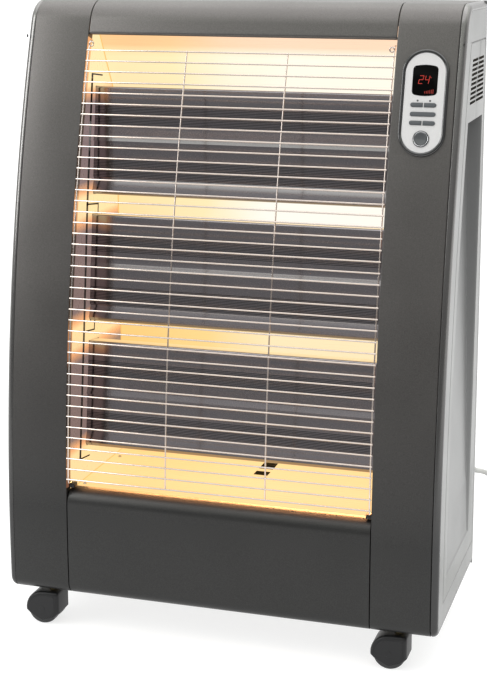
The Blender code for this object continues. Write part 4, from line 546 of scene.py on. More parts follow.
@dataclass(frozen=True)
class Cabinet:
    """The heater's main sizes and the curve of its front."""

    width: float = 0.685
    height: float = 0.974
    depth: float = 0.311
    bottom: float = 0.0595
    front: float = -0.169605
    radius: float = 2.508
    bulge: float = 0.1275
    top_round: float = 0.044
    bottom_round: float = 0.020
    opening_half: float = 0.2414
    opening_bottom: float = 0.237
    opening_top: float = 0.922
    edge: float = 0.0105
    gap: float = 0.0003
    rear_gap: float = 0.0015
    arc_steps: int = 72
    round_steps: int = 12

    @property
    def rear(self) -> float:
        """Return the rear cover's outer face."""
        return self.front + self.depth

    @property
    def side(self) -> float:
        """Return the side panel's outer face."""
        return self.width / 2

    @property
    def arc_centre(self) -> Point:
        """Return the centre of the front arc."""
        return (self.front + self.radius, self.bulge)

    def front_at(self, z: float, inset: float = 0.0) -> float:
        """Return the Y of the front arc at a height, some way inside the surface."""
        reach = self.radius - inset
        return self.arc_centre[0] - math.sqrt(reach * reach - (z - self.bulge) ** 2)

    def arc(self, centre: Point, radius: float, start: float, end: float, steps: int) -> list[Station]:
        """Return stations along an arc; angle 0 faces forward and a quarter turn faces up.

        Args:
            centre: the arc's centre as (y, z).
            radius: its radius.
            start: its first angle.
            end: its last angle.
            steps: how many steps it has.

        Returns:
            Pairs of a point and the inward normal there.
        """
        stations = []
        for i in range(steps + 1):
            angle = start + (end - start) * i / steps
            outward = Vector((-math.cos(angle), math.sin(angle)))
            stations.append((Vector(centre) + radius * outward, -outward))
        return stations

    def rolled(self, line: float, radius: float, turn: int) -> tuple[Point, float]:
        """Return the centre and end angle of the round between the front arc and a level line."""
        reach = self.radius - radius
        angle = math.asin((line - turn * radius - self.bulge) / reach)
        return (self.arc_centre[0] - reach * math.cos(angle), self.bulge + reach * math.sin(angle)), angle

    def path(
        self, low: float, low_round: float, low_end: float, high: float, high_round: float, high_end: float
    ) -> list[Station]:
        """Return stations from a lower lip, up the front arc, to the end of an upper lip.

        Args:
            low: height of the lower line.
            low_round: radius of the round above it.
            low_end: how far behind the round's centre the lower lip ends.
            high: height of the upper line.
            high_round: radius of the round below it.
            high_end: how far behind the round's centre the upper lip ends.

        Returns:
            Pairs of a point and the inward normal there.
        """
        low_centre, low_angle = self.rolled(low, low_round, -1)
        high_centre, high_angle = self.rolled(high, high_round, 1)
        steps = max(8, round(self.arc_steps * (high - low) / self.height))
        stations = [(Vector((low_centre[0] + low_end, low)), Vector((0, 1)))]
        stations += self.arc(low_centre, low_round, -QUARTER, low_angle, self.round_steps)
        stations += self.arc(self.arc_centre, self.radius, low_angle, high_angle, steps)[1:-1]
        stations += self.arc(high_centre, high_round, high_angle, QUARTER, self.round_steps)
        stations.append((Vector((high_centre[0] + high_end, high)), Vector((0, -1))))
        return stations

    def whole_path(self) -> list[Station]:
        """Follow the whole side profile, with lips that run to the rear.

        Returns:
            Pairs of a point and the inward normal there.
        """
        low_centre, _ = self.rolled(self.bottom, self.bottom_round, -1)
        high_centre, _ = self.rolled(self.height, self.top_round, 1)
        end = self.rear - self.rear_gap
        return self.path(
            self.bottom, self.bottom_round, end - low_centre[0], self.height, self.top_round, end - high_centre[0]
        )


def stand(name: str, data: bpy.types.ID) -> Piece:
    """Make an object of some data and put it in the scene.

    Args:
        name: the object's name.
        data: its mesh, curve, lamp or camera.

    Returns:
        The object.
    """
    thing = bpy.data.objects.new(name, data)
    bpy.context.scene.collection.objects.link(thing)
    return thing


def section(points: Sequence[Point], fillets: dict[int, float] | None = None, segments: int = 4) -> BMesh:
    """Draw a closed section as a wire in the XY plane, with some corners rounded.

    Args:
        points: the section's corners.
        fillets: the radius of each rounded corner, by its index.
        segments: steps of each round.

    Returns:
        The wire.
    """
    bm = bmesh.new()
    corners = [bm.verts.new((*point, 0.0)) for point in points]
    for i, corner in enumerate(corners):
        bm.edges.new((corners[i - 1], corner))
    for index, radius in (fillets or {}).items():
        bmesh.ops.bevel(
            bm, geom=[corners[index]], offset=radius, offset_type="OFFSET", segments=segments, profile=0.5,
            affect="VERTICES", material=-1,
        )
    return bm


def rectangle(left: float, low: float, right: float, high: float) -> list[Point]:
    """Return a rectangle's corners, from the lower left one round."""
    return [(left, low), (right, low), (right, high), (left, high)]


def face_outward(bm: BMesh) -> BMesh:
    """Turn a mesh's faces outwards, and return it."""
    bmesh.ops.recalc_face_normals(bm, faces=bm.faces[:])
    return bm


def sweep(bm: BMesh, places: Sequence[Callable[[float, float], Vector]]) -> BMesh:
    """Carry a closed flat wire through a row of places by extruding it from one to the next.

    Args:
        bm: a wire in the XY plane, as section() draws it.
        places: for each step, where a point (x, y) of the wire goes.

    Returns:
        The same bmesh, now a closed skin.
    """
    across = bm.verts.layers.float.new("across")
    along = bm.verts.layers.float.new("along")
    for vertex in bm.verts:
        vertex[across], vertex[along] = vertex.co.x, vertex.co.y
    edges = bm.edges[:]
    first = edges[:]
    for vertex in bm.verts:
        vertex.co = places[0](vertex[across], vertex[along])
    for place in places[1:]:
        made = bmesh.ops.extrude_edge_only(bm, edges=edges)["geom"]
        fresh = {item for item in made if isinstance(item, bmesh.types.BMVert)}
        edges = [item for item in made if isinstance(item, bmesh.types.BMEdge) and set(item.verts) <= fresh]
        for vertex in fresh:
            vertex.co = place(vertex[across], vertex[along])
    for ring in (first, edges):
        bmesh.ops.edgeloop_fill(bm, edges=ring)
    return bm


def along_path(bm: BMesh, stations: Sequence[Station], mirror: int = 1) -> BMesh:
    """Sweep a wire of (x, inset) points along stations in the YZ plane.

    Args:
        bm: the wire.
        stations: where it goes, one after the other.
        mirror: -1 swaps left and right.

    Returns:
        The swept skin.
    """

    def placer(point: Vector, inward: Vector) -> Callable[[float, float], Vector]:
        """Return where a section point goes at one station."""
        return lambda x, inset: Vector((mirror * x, *(point + inset * inward)))

    return sweep(bm, [placer(point, inward) for point, inward in stations])


def prism_x(outline: Sequence[Point], low: float, high: float) -> BMesh:
    """Extrude an outline of (y, z) points from one X to another."""
    return sweep(section(outline), [lambda y, z, x=x: Vector((x, y, z)) for x in (low, high)])


def box(low: Sequence[float], high: Sequence[float], bevel: float = 0.0) -> BMesh:
    """Make a box between two corners, with rounded edges.

    Args:
        low: its lower corner.
        high: its upper corner.
        bevel: the radius of its edges.

    Returns:
        The box.
    """
    bm = bmesh.new()
    bmesh.ops.create_cube(bm, size=1.0)
    size = Vector(high) - Vector(low)
    bmesh.ops.scale(bm, vec=size, verts=bm.verts[:])
    bmesh.ops.translate(bm, vec=Vector(low) + size / 2, verts=bm.verts[:])
    if bevel:
        bmesh.ops.bevel(bm, geom=bm.edges[:], offset=bevel, segments=2, profile=0.5, affect="EDGES", material=-1)
    return bm


def turned(profile: Sequence[Point], origin: Sequence[float], axis: Sequence[float], steps: int = 32) -> BMesh:
    """Spin a profile of (radius, along) points about an axis.

    Args:
        profile: the points, ends on the axis or not.
        origin: where along is 0.
        axis: the direction of along.
        steps: steps of the full turn.

    Returns:
        The turned skin.
    """
    bm = bmesh.new()
    chain = [bm.verts.new((radius, 0.0, along)) for radius, along in profile]
    edges = [bm.edges.new(pair) for pair in zip(chain, chain[1:])]
    around = {"cent": (0, 0, 0), "axis": (0, 0, 1), "angle": math.tau, "steps": steps, "use_merge": True}
    bmesh.ops.spin(bm, geom=chain + edges, **around)
    bmesh.ops.remove_doubles(bm, verts=bm.verts[:], dist=1e-6)
    turn = Vector((0, 0, 1)).rotation_difference(Vector(axis)).to_matrix().to_4x4()
    bmesh.ops.transform(bm, matrix=Matrix.Translation(Vector(origin)) @ turn, verts=bm.verts[:])
    return face_outward(bm)


def tube(points: Sequence[Vector], radius: float, sides: int = 10) -> BMesh:
    """Sweep a circle along points, turning it as little as it can.

    Args:
        points: the centreline.
        radius: the tube's radius.
        sides: steps round the tube.

    Returns:
        The tube.
    """
    bm = bmesh.new()
    bmesh.ops.create_circle(bm, cap_ends=False, segments=sides, radius=radius)
    places = []
    direction = (points[1] - points[0]).normalized()
    turn = Vector((0, 0, 1)).rotation_difference(direction).to_matrix()
    for i, point in enumerate(points):
        before, after = points[max(i - 1, 0)], points[min(i + 1, len(points) - 1)]
        heading = (after - before).normalized()
        turn = direction.rotation_difference(heading).to_matrix() @ turn
        direction = heading
        places.append(lambda x, y, point=point, turn=turn.copy(): point + turn @ Vector((x, y, 0)))
    return sweep(bm, places)


def carve(piece: Piece, tool: BMesh) -> None:
    """Take a tool's shape out of a piece.

    Args:
        piece: the piece.
        tool: the closed shape to take out; it is freed.
    """
    mesh = bpy.data.meshes.new("tool")
    face_outward(tool).to_mesh(mesh)
    tool.free()
    cutter = stand("tool", mesh)
    modifier = piece.modifiers.new("carve", "BOOLEAN")
    modifier.operation = "DIFFERENCE"
    modifier.solver = "EXACT"
    modifier.object = cutter
    graph = bpy.context.evaluated_depsgraph_get()
    carved = bpy.data.meshes.new_from_object(piece.evaluated_get(graph))
    piece.modifiers.remove(modifier)
    bpy.data.objects.remove(cutter)
    bpy.data.meshes.remove(mesh)
    old, piece.data = piece.data, carved
    carved.materials.clear()
    carved.materials.append(old.materials[0])
    bpy.data.meshes.remove(old)
    carved.shade_smooth()
    carved.set_sharp_from_angle(angle=SMOOTH_ANGLE)


def merge(target: BMesh, *others: BMesh) -> BMesh:
    """Add other meshes to one, and free them.

    Args:
        target: the mesh that grows.
        others: what is added to it.

    Returns:
        The mesh that grew.
    """
    for other in others:
        mesh = bpy.data.meshes.new("part")
        other.to_mesh(mesh)
        other.free()
        target.from_mesh(mesh)
        bpy.data.meshes.remove(mesh)
    return target


def screw(centre: Sequence[float], axis: Sequence[float], radius: float = 0.004) -> BMesh:
    """Make a domed screw head with a dimple.

    Args:
        centre: the middle of its seat.
        axis: the way that it faces.
        radius: its radius.

    Returns:
        The head.
    """
    profile = [
        (radius, 0.0), (radius, radius * 0.25), (radius * 0.8, radius * 0.5), (radius * 0.4, radius * 0.62),
        (radius * 0.3, radius * 0.35), (0.0, radius * 0.3),
    ]
    return turned(profile, centre, axis, 14)


# ---------------------------------------------------------------- sub-assemblies


@dataclass
class SubAssembly:
    """What every sub-assembly holds, and the last steps of each of its pieces."""

    finishes: Finishes
    cabinet: Cabinet = field(default_factory=Cabinet)

    def publish(
        self,
        name: str,
        bm: BMesh,
        finish: str,
        slot: str,
        replaces: Iterable[str] = (),
        body: str = "cabinet",
        angle: float = SMOOTH_ANGLE,
        recalc: bool = True,
    ) -> Piece:
        """Turn a bmesh into a dressed piece that rides on a body.

        Args:
            name: the piece's name.
            bm: its mesh, in place; it is freed.
            finish: its material.
            slot: the record's material slot.
            replaces: CAD nodes that it stands for.
            body: the CAD body that it rides on.
            angle: edges sharper than this stay sharp.
            recalc: whether the normals are worked out again.

        Returns:
            The piece.
        """
        if recalc:
            face_outward(bm)
        mesh = bpy.data.meshes.new(name)
        bm.to_mesh(mesh)
        bm.free()
        mesh.shade_smooth()
        mesh.set_sharp_from_angle(angle=angle)
        mesh.materials.append(self.finishes[finish])
        return self.settle(stand(name, mesh), body, slot, replaces)

    def settle(self, piece: Piece, body: str, slot: str, replaces: Iterable[str] = ()) -> Piece:
        """Make a piece ride on its body and hide the nodes that it stands for.

        Args:
            piece: the piece.
            body: the CAD body.
            slot: the record's material slot; not used.
            replaces: CAD nodes that it stands for.

        Returns:
            The piece.
        """
        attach(piece, body)
        names = list(replaces)
        if names:
            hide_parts(*names)
        LOG.info("%s rides on %s", piece.name, body)
        return piece


@dataclass
class FrontPanels(SubAssembly):
    """The two pillars beside the opening and the rolled panels over and under it."""

    sheet: float = 0.0015
    seam: float = 0.0011
    flange: float = 0.016
    bend: float = 0.0011
    seam_setback: float = 0.185
    lower_drop: float = 0.0045
    lower_round: float = 0.0235
    lower_lip: float = 0.0006
    top_round: float = 0.004
    top_lip: float = 0.012
    underside_lip: float = 0.0015
    top_turn: float = 0.0038
    lower_turn: float = 0.0090
    flange_reach: float = 0.0002
    flange_cosine: float = 0.9

    @property
    def pillar_half(self) -> float:
        """Return how far out the pillars reach."""
        return self.cabinet.side - self.cabinet.edge - self.cabinet.gap

    @property
    def upper_end(self) -> Spot:
        """Return the height, the round and the lip at the seam with the top plate."""
        cabinet = self.cabinet
        centre, _ = cabinet.rolled(cabinet.height, cabinet.top_round, 1)
        return cabinet.height, cabinet.top_round, cabinet.front + self.seam_setback - centre[0]

    def build(self) -> dict[Side, Piece]:
        """Make the panels.

        Returns:
            Each side's pillar.
        """
        self.build_top()
        self.build_lower()
        return {side: self.build_pillar(side) for side in Side}

    def build_pillar(self, side: Side) -> Piece:
        """Make one pillar: a channel with softly bent corners.

        Args:
            side: the pillar's side.

        Returns:
            The pillar.
        """
        cabinet, wall = self.cabinet, self.sheet
        inner, outer = cabinet.opening_half, self.pillar_half
        stations = cabinet.path(cabinet.bottom, cabinet.bottom_round, self.underside_lip, *self.upper_end)
        wire = section(
            [
                (inner, 0), (outer, 0), (outer, self.flange), (outer - wall, self.flange), (outer - wall, wall),
                (inner + wall, wall), (inner + wall, self.flange), (inner, self.flange),
            ],
            {0: self.bend, 1: self.bend},
        )
        bm = along_path(wire, stations, side.value)
        name = f"{side.word}_pillar"
        return self.publish(name, bm, "graphite_paint", "graphite_paint", [f"front_{name}"])

    def light_flanges(self, pillars: dict[Side, Piece]) -> None:
        """Give the pillars' flanges beside the opening a painted reflection of the glow that falls on them.

        Args:
            pillars: each side's pillar.
        """
        cabinet = self.cabinet
        for side, pillar in pillars.items():
            pillar.data.materials.append(self.finishes["flange_painted_reflection"])
            for face in pillar.data.polygons:
                beside = cabinet.opening_bottom < face.center.z < cabinet.opening_top - self.top_round
                inner = abs(abs(face.center.x) - cabinet.opening_half) < self.flange_reach
                if beside and inner and face.normal.x * side.value < -self.flange_cosine:
                    face.material_index = 1

    def build_panel(self, name: str, node: str, stations: Sequence[Station], lip: float) -> Piece:
        """Make one panel of the opening's width, with its edges turned in behind the seams.

        Args:
            name: its name.
            node: the CAD node that it stands for.
            stations: its path.
            lip: how deep its edges turn in.

        Returns:
            The panel.
        """
        half, wall = self.cabinet.opening_half - self.seam, self.sheet
        right = [(half, 0), (half, lip), (half - wall, lip), (half - wall, wall)]
        left = [(-x, inset) for x, inset in reversed(right)]
        wire = section([*right, *left], {0: self.bend, 7: self.bend})
        bm = along_path(wire, stations)
        return self.publish(name, bm, "graphite_paint", "graphite_paint", [node])

    def build_top(self) -> None:
        """Make the panel over the opening."""
        cabinet = self.cabinet
        stations = cabinet.path(cabinet.opening_top, self.top_round, self.top_lip, *self.upper_end)
        self.build_panel("top_panel", "front_top_panel", stations, self.top_turn)

    def build_lower(self) -> None:
        """Make the panel under the opening."""
        cabinet = self.cabinet
        stations = cabinet.path(
            cabinet.bottom, cabinet.bottom_round, self.underside_lip,
            cabinet.opening_bottom - self.lower_drop, self.lower_round, self.lower_lip,
        )
        self.build_panel("lower_panel", "lower_front_panel", stations, self.lower_turn)


@dataclass
class EdgeTrims(SubAssembly):
    """The rounded strips between the pillars and the side panels."""

    wall: float = 0.0025
    tail: float = 0.008
    dip: float = 0.0011
    dip_width: float = 0.0013
    dip_round: float = 0.0008
    flat: float = 0.0002
    tail_step: float = 0.0015

    def build(self) -> None:
        """Make both strips."""
        cabinet = self.cabinet
        radius = cabinet.edge
        near = cabinet.side - radius
        tail_x = cabinet.side - self.tail_step
        reach = radius + self.tail
        corners = [
            (near, radius - self.dip_width), (near, self.dip), (near + self.dip_width, 0.0),
            (cabinet.side, 0.0), (cabinet.side, radius), (tail_x, radius), (tail_x, reach),
            (tail_x - self.wall, reach), (tail_x - self.wall, radius),
        ]
        for side in Side:
            wire = section(corners, {3: radius - self.dip_width - self.flat, 2: self.dip_round}, segments=10)
            bm = along_path(wire, cabinet.whole_path(), side.value)
            self.publish(f"{side.word}_trim", bm, "trim_paint", "trim_paint", [f"{side.word}_edge_trim"])


@dataclass
class SidePanels(SubAssembly):
    """The pressed side panels, each with its groove, sloping hand recess, fold and louvres."""

    sheet: float = 0.0009
    recess_inset: float = 0.066
    recess_top: float = 0.802
    recess_bottom: float = 0.134
    recess_setbacks: tuple[float, float] = (0.053, 0.026)
    recess_depths: tuple[float, float] = (0.002, 0.024)
    draft: float = 0.0032
    groove_inset: float = 0.044
    groove_rear: float = 0.010
    groove_levels: tuple[float, float] = (0.101, 0.917)
    groove_half: float = 0.0017
    groove_depth: float = 0.0018
    fold_inset: float = 0.126
    fold_half: float = 0.0035
    fold_depth: float = 0.0006
    louvre_rows: int = 10
    louvre_pitch: float = 0.0068
    louvre_height: float = 0.0041
    louvre_top: float = 0.8925
    louvre_inset: float = 0.069
    bridge: tuple[float, float] = (0.118, 0.125)
    louvre_setback: float = 0.022
    louvre_margin: float = 0.004
    louvre_zone: float = 0.01
    draft_steps: tuple[float, ...] = (0.0, 0.15, 0.35, 0.65, 0.85, 1.0)
    extra_columns: Point = (0.056, 0.090)
    least_row: float = 0.00012
    least_column: float = 0.00008
    screws: Profile = ((0.056, 0.078), (0.292, 0.085))
    screw_profile: Profile = (
        (0.0036, 0), (0.0036, 0.00015), (0.003, 0.0002), (0.0022, 0.0001), (0, 0.0001)
    )
    plug: Point = (0.1275, 0.919)
    plug_profile: Profile = ((0.0026, 0), (0.0026, 0.00015), (0.002, 0.0002), (0, 0.0002))
    sink: float = 0.0002

    def over_groove(self, middle: float) -> list[float]:
        """Return the grid lines over a groove."""
        return [middle + self.groove_half * i / 3 for i in range(-3, 4)]

    def levels(self) -> list[float]:
        """Work out the heights of the grid's rows.

        Returns:
            The heights, from the bottom up.
        """
        cabinet = self.cabinet
        low, high = cabinet.bottom + cabinet.edge + cabinet.gap, cabinet.height - cabinet.edge - cabinet.gap
        values = {low, high, self.recess_bottom, self.recess_top}
        values |= {low + (cabinet.bottom_round - cabinet.edge) * (1 - math.cos(i * QUARTER / 6)) for i in range(7)}
        values |= {high - (cabinet.top_round - cabinet.edge) * (1 - math.cos(i * QUARTER / 10)) for i in range(11)}
        values |= {self.recess_bottom + (self.recess_top - self.recess_bottom) * i / 24 for i in range(25)}
        for share in self.draft_steps:
            values |= {self.recess_bottom + self.draft * share, self.recess_top - self.draft * share}
        for level in self.groove_levels:
            values.update(self.over_groove(level))
        for row in range(self.louvre_rows):
            top = self.louvre_top - row * self.louvre_pitch
            values |= {top, top - self.louvre_height}
        merged = []
        for value in sorted(values):
            if not merged or value - merged[-1] > self.least_row:
                merged.append(value)
        merged[-1] = high
        return merged

    def edge_at(self, z: float) -> float:
        """Return where the panel's front edge lies at a height.

        Args:
            z: the height.

        Returns:
            Its Y.
        """
        cabinet = self.cabinet
        inset = cabinet.edge + cabinet.gap
        edge = cabinet.front_at(z, inset)
        for line, radius, turn in ((cabinet.bottom, cabinet.bottom_round, -1), (cabinet.height, cabinet.top_round, 1)):
            centre, _ = cabinet.rolled(line, radius, turn)
            rise = turn * (z - centre[1])
            reach = radius - inset
            if rise > 0:
                edge = max(edge, centre[0] - math.sqrt(max(reach * reach - rise * rise, 0.0)))
        return edge

    def recess_rear(self, z: float) -> float:
        """Return where the recess ends at a height."""
        share = (z - self.recess_bottom) / (self.recess_top - self.recess_bottom)
        low, high = self.recess_setbacks
        return self.cabinet.rear - low - share * (high - low)

    def columns(self, z: float) -> list[float]:
        """Return the Y of the grid's columns at a height, from front to rear.

        Args:
            z: the height.

        Returns:
            As many values for each height.
        """
        cabinet = self.cabinet
        front = cabinet.front_at(z)
        from_front = self.over_groove(self.groove_inset)
        from_front += [self.recess_inset + self.draft * step for step in self.draft_steps]
        from_front += [*self.extra_columns, *self.bridge]
        from_front += [self.fold_inset - self.fold_half, self.fold_inset, self.fold_inset + self.fold_half]
        forward = sorted(front + inset for inset in from_front)
        foot, head = self.recess_rear(self.recess_bottom), self.recess_rear(self.recess_top)
        recess_rear = min(max(self.recess_rear(z), foot), head)
        backward = [recess_rear - self.draft * step for step in reversed(self.draft_steps)]
        last = cabinet.rear - cabinet.rear_gap
        backward += [*self.over_groove(cabinet.rear - self.groove_rear), last]
        middle = (forward[-1] + backward[0]) / 2
        values = [self.edge_at(z), *forward, middle, *backward]
        louvre_end = cabinet.rear - self.louvre_setback
        if z > self.recess_top + self.louvre_zone:
            values[values.index(backward[0])] = louvre_end - self.louvre_margin
            values[values.index(backward[1])] = louvre_end
        for i in range(1, len(values)):
            values[i] = max(values[i], values[i - 1] + self.least_column)
        if values[-1] > last:
            values[-1] = last
            for i in range(len(values) - 2, -1, -1):
                values[i] = min(values[i], values[i + 1] - self.least_column)
        return values

    def depth(self, y: float, z: float) -> float:
        """Return how deep the panel is pressed at a point.

        Args:
            y: the point's Y.
            z: its height.

        Returns:
            The depth.
        """
        cabinet = self.cabinet
        inset = y - cabinet.front_at(z)
        share = (z - self.recess_bottom) / (self.recess_top - self.recess_bottom)
        inside = min(
            inset - self.recess_inset, self.recess_rear(z) - y, z - self.recess_bottom, self.recess_top - z
        )
        low, high = self.recess_depths
        deep = (low + share * (high - low)) * ease(inside / self.draft)
        bottom, top = self.groove_levels
        border = min(inset - self.groove_inset, cabinet.rear - self.groove_rear - y, z - bottom, top - z)
        groove = self.groove_depth * ease(1 - abs(border) / self.groove_half)
        fold = 0.0
        if self.recess_top < z < top:
            fold = self.fold_depth * ease(1 - abs(inset - self.fold_inset) / self.fold_half)
        return max(deep, groove, fold)

    def is_slot(self, y: float, z: float) -> bool:
        """Return whether a point lies in a louvre slot.

        Args:
            y: the point's Y.
            z: its height.

        Returns:
            Whether it does.
        """
        inset = y - self.cabinet.front_at(z)
        across = inset > self.louvre_inset and y < self.cabinet.rear - self.louvre_setback
        bridged = self.bridge[0] < inset < self.bridge[1]
        for row in range(self.louvre_rows):
            top = self.louvre_top - row * self.louvre_pitch
            if top - self.louvre_height < z < top:
                return across and not bridged
        return False

    def build(self) -> None:
        """Make both panels with their screws."""
        levels = self.levels()
        grid = [self.columns(z) for z in levels]
        count = len(grid[0])
        for side in Side:
            bm = bmesh.new()
            bmesh.ops.create_grid(bm, x_segments=count - 1, y_segments=len(levels) - 1, size=1.0)
            for vertex in bm.verts:
                column = round((vertex.co.x + 1) / 2 * (count - 1))
                row = round((vertex.co.y + 1) / 2 * (len(levels) - 1))
                y, z = grid[row][column], levels[row]
                vertex.co = Vector((side.value * (self.cabinet.side - self.depth(y, z)), y, z))
            gone = [face for face in bm.faces if self.is_slot(*face.calc_center_median().yz)]
            bmesh.ops.delete(bm, geom=gone, context="FACES")
            face_outward(bm)
            if sum(face.normal.x * face.calc_area() for face in bm.faces) * side.value < 0:
                bmesh.ops.reverse_faces(bm, faces=bm.faces[:])
            bmesh.ops.solidify(bm, geom=bm.faces[:], thickness=self.sheet)
            name = f"{side.word}_side"
            self.publish(name, bm, "side_paint", "side_paint", [f"{name}_panel"], recalc=False)
            self.build_screws(side)

    def build_screws(self, side: Side) -> None:
        """Make the two screws near the foot of a panel and the small plug near its head.

        Args:
            side: the panel's side.
        """
        front, face = self.cabinet.front, side.value * (self.cabinet.side - self.sink)
        outward = (side.value, 0, 0)
        heads = bmesh.new()
        for inset, z in self.screws:
            merge(heads, turned(self.screw_profile, (face, front + inset, z), outward, 16))
        self.publish(f"{side.word}_side_screws", heads, "black_and_groove_shade", "side_paint")
        inset, z = self.plug
        plug = turned(self.plug_profile, (face, front + inset, z), outward, 16)
        self.publish(f"{side.word}_side_plug", plug, "black_plastic", "black_plastic")


@dataclass
class WireGuard(SubAssembly):
    """The chrome guard: level wires welded to four uprights, held by two clips."""

    count: int = 41
    wire: float = 0.0012
    top: float = 0.8995
    bottom: float = 0.2498
    proud: float = 0.0010
    bite: float = 0.0006
    upright_top: float = 0.912
    upright_bottom: float = 0.2425
    edge_inset: float = 0.0032
    spacing: float = 0.1578
    hook: float = 0.011
    end_gap: float = 0.0003
    bead: float = 0.0015
    eye_radius: float = 0.0034
    clip_drop: float = 0.0032
    clip_top_drop: float = 0.0030
    clip_rise: float = 0.0025
    clip_wall: float = 0.0004
    clip_rounds: Point = (0.0003, 0.0002)

    def height(self, index: float) -> float:
        """Return the height of a wire, counted from the top at equal steps of arc."""
        cabinet = self.cabinet
        top = math.asin((self.top - cabinet.bulge) / cabinet.radius)
        bottom = math.asin((self.bottom - cabinet.bulge) / cabinet.radius)
        return cabinet.bulge + cabinet.radius * math.sin(top + (bottom - top) * index / (self.count - 1))

    def build(self) -> None:
        """Make the guard and its clips."""
        cabinet = self.cabinet
        bm = bmesh.new()
        end = cabinet.opening_half - self.end_gap
        edge = cabinet.opening_half - self.edge_inset
        radius = self.wire
        for index in range(self.count):
            z = self.height(index)
            y = cabinet.front_at(z, -self.proud)
            profile = [
                (0, 0), (radius * 0.7, radius * 0.25), (radius, radius * 0.9), (radius, 2 * end - radius * 0.9),
                (radius * 0.7, 2 * end - radius * 0.25), (0, 2 * end),
            ]
            merge(bm, turned(profile, (-end, y, z), (1, 0, 0), 10))
            for x in (-edge, edge):
                lump = bmesh.new()
                bmesh.ops.create_icosphere(lump, subdivisions=1, radius=self.bead)
                bmesh.ops.translate(lump, vec=Vector((x, y + radius, z)), verts=lump.verts[:])
                merge(bm, lump)
        inset = -self.proud + 2 * self.wire - self.bite
        heights = [self.height(i) for i in range(0, self.count, 2)]
        spine = [Vector((0, cabinet.front_at(z, inset), z)) for z in heights]
        for x in (-edge, -self.spacing / 2, self.spacing / 2, edge):
            points = [point + Vector((x, 0, 0)) for point in spine]
            if abs(x) > self.spacing:
                points = self.hooked(points, x, inset)
            else:
                top, bottom = self.top + self.wire, self.bottom - self.wire
                head = Vector((x, cabinet.front_at(top, inset), top))
                foot = Vector((x, cabinet.front_at(bottom, inset), bottom))
                points = [head, *points, foot]
            merge(bm, tube(points, radius, 10))
        for side in Side:
            merge(bm, self.eye(side, self.upright_top - self.eye_radius, inset))
        self.publish("guard_wires", bm, "chrome_wire", "chrome_wire", ["wire_guard"], angle=0.9)
        self.build_clips()

    def eye(self, side: Side, z: float, inset: float) -> BMesh:
        """Make the small eye that a corner upright is curled into.

        Args:
            side: its side.
            z: its middle's height.
            inset: how far inside the front arc it lies.

        Returns:
            The eye.
        """
        x = side.value * (self.cabinet.opening_half - self.edge_inset - self.eye_radius)
        centre = Vector((x, self.cabinet.front_at(z, inset), z))
        points = [
            centre + self.eye_radius * Vector((math.cos(angle), 0.0, math.sin(angle)))
            for angle in (math.tau * i / 20 for i in range(20))
        ]
        return tube(points, self.wire, 8)

    def hooked(self, points: list[Vector], x: float, inset: float) -> list[Vector]:
        """Add the hooks that turn back into the opening at an upright's ends.

        Args:
            points: the upright's points, from the top down.
            x: its X.
            inset: how far inside the front arc it lies.

        Returns:
            The upright's points with both hooks.
        """
        head_y = self.cabinet.front_at(self.upright_top, inset)
        foot_y = self.cabinet.front_at(self.upright_bottom, inset)
        bend = 3 * self.wire
        top, bottom = self.upright_top + self.wire, self.upright_bottom - self.wire
        head = [Vector((x, head_y + self.hook, top)), Vector((x, head_y + bend + self.wire, top))]
        foot = [Vector((x, foot_y + bend + self.wire, bottom)), Vector((x, foot_y + self.hook, bottom))]
        for i in (1, 2, 3):
            angle = QUARTER * i / 3
            shift = Vector((0, -bend * math.sin(angle), -bend * (1 - math.cos(angle))))
            head.append(head[1] + shift)
            mirrored = Vector((0, -bend * math.cos(angle), bend * (1 - math.sin(angle))))
            foot.insert(i - 1, foot[-2] + mirrored)
        return head + points + foot

    def build_clips(self) -> None:
        """Make the clip that holds each lower hook on the lower panel's lip."""
        for side in Side:
            node = f"guard_clip_{side.word}"
            low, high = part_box(node)
            wire_x = side.value * (self.cabinet.opening_half - self.edge_inset)
            bm = bmesh.new()
            half = self.wire + self.end_gap
            low = (low[0], low[1], low[2] - self.clip_drop)
            cheeks = ((low[0], wire_x - half), (wire_x + half, high[0]))
            for start, end in cheeks:
                if end - start > self.clip_wall:
                    corners = (start, low[1], low[2]), (end, high[1], high[2] - self.clip_top_drop)
                    merge(bm, box(*corners, self.clip_rounds[0]))
            near, far = wire_x - half - self.clip_wall, wire_x + half + self.clip_wall
            top = low[2] + self.clip_drop + self.clip_rise
            merge(bm, box((near, low[1], low[2]), (far, high[1], top), self.clip_rounds[1]))
            self.publish(f"clip_{side.word}", bm, "black_plastic", "black_plastic", [node])


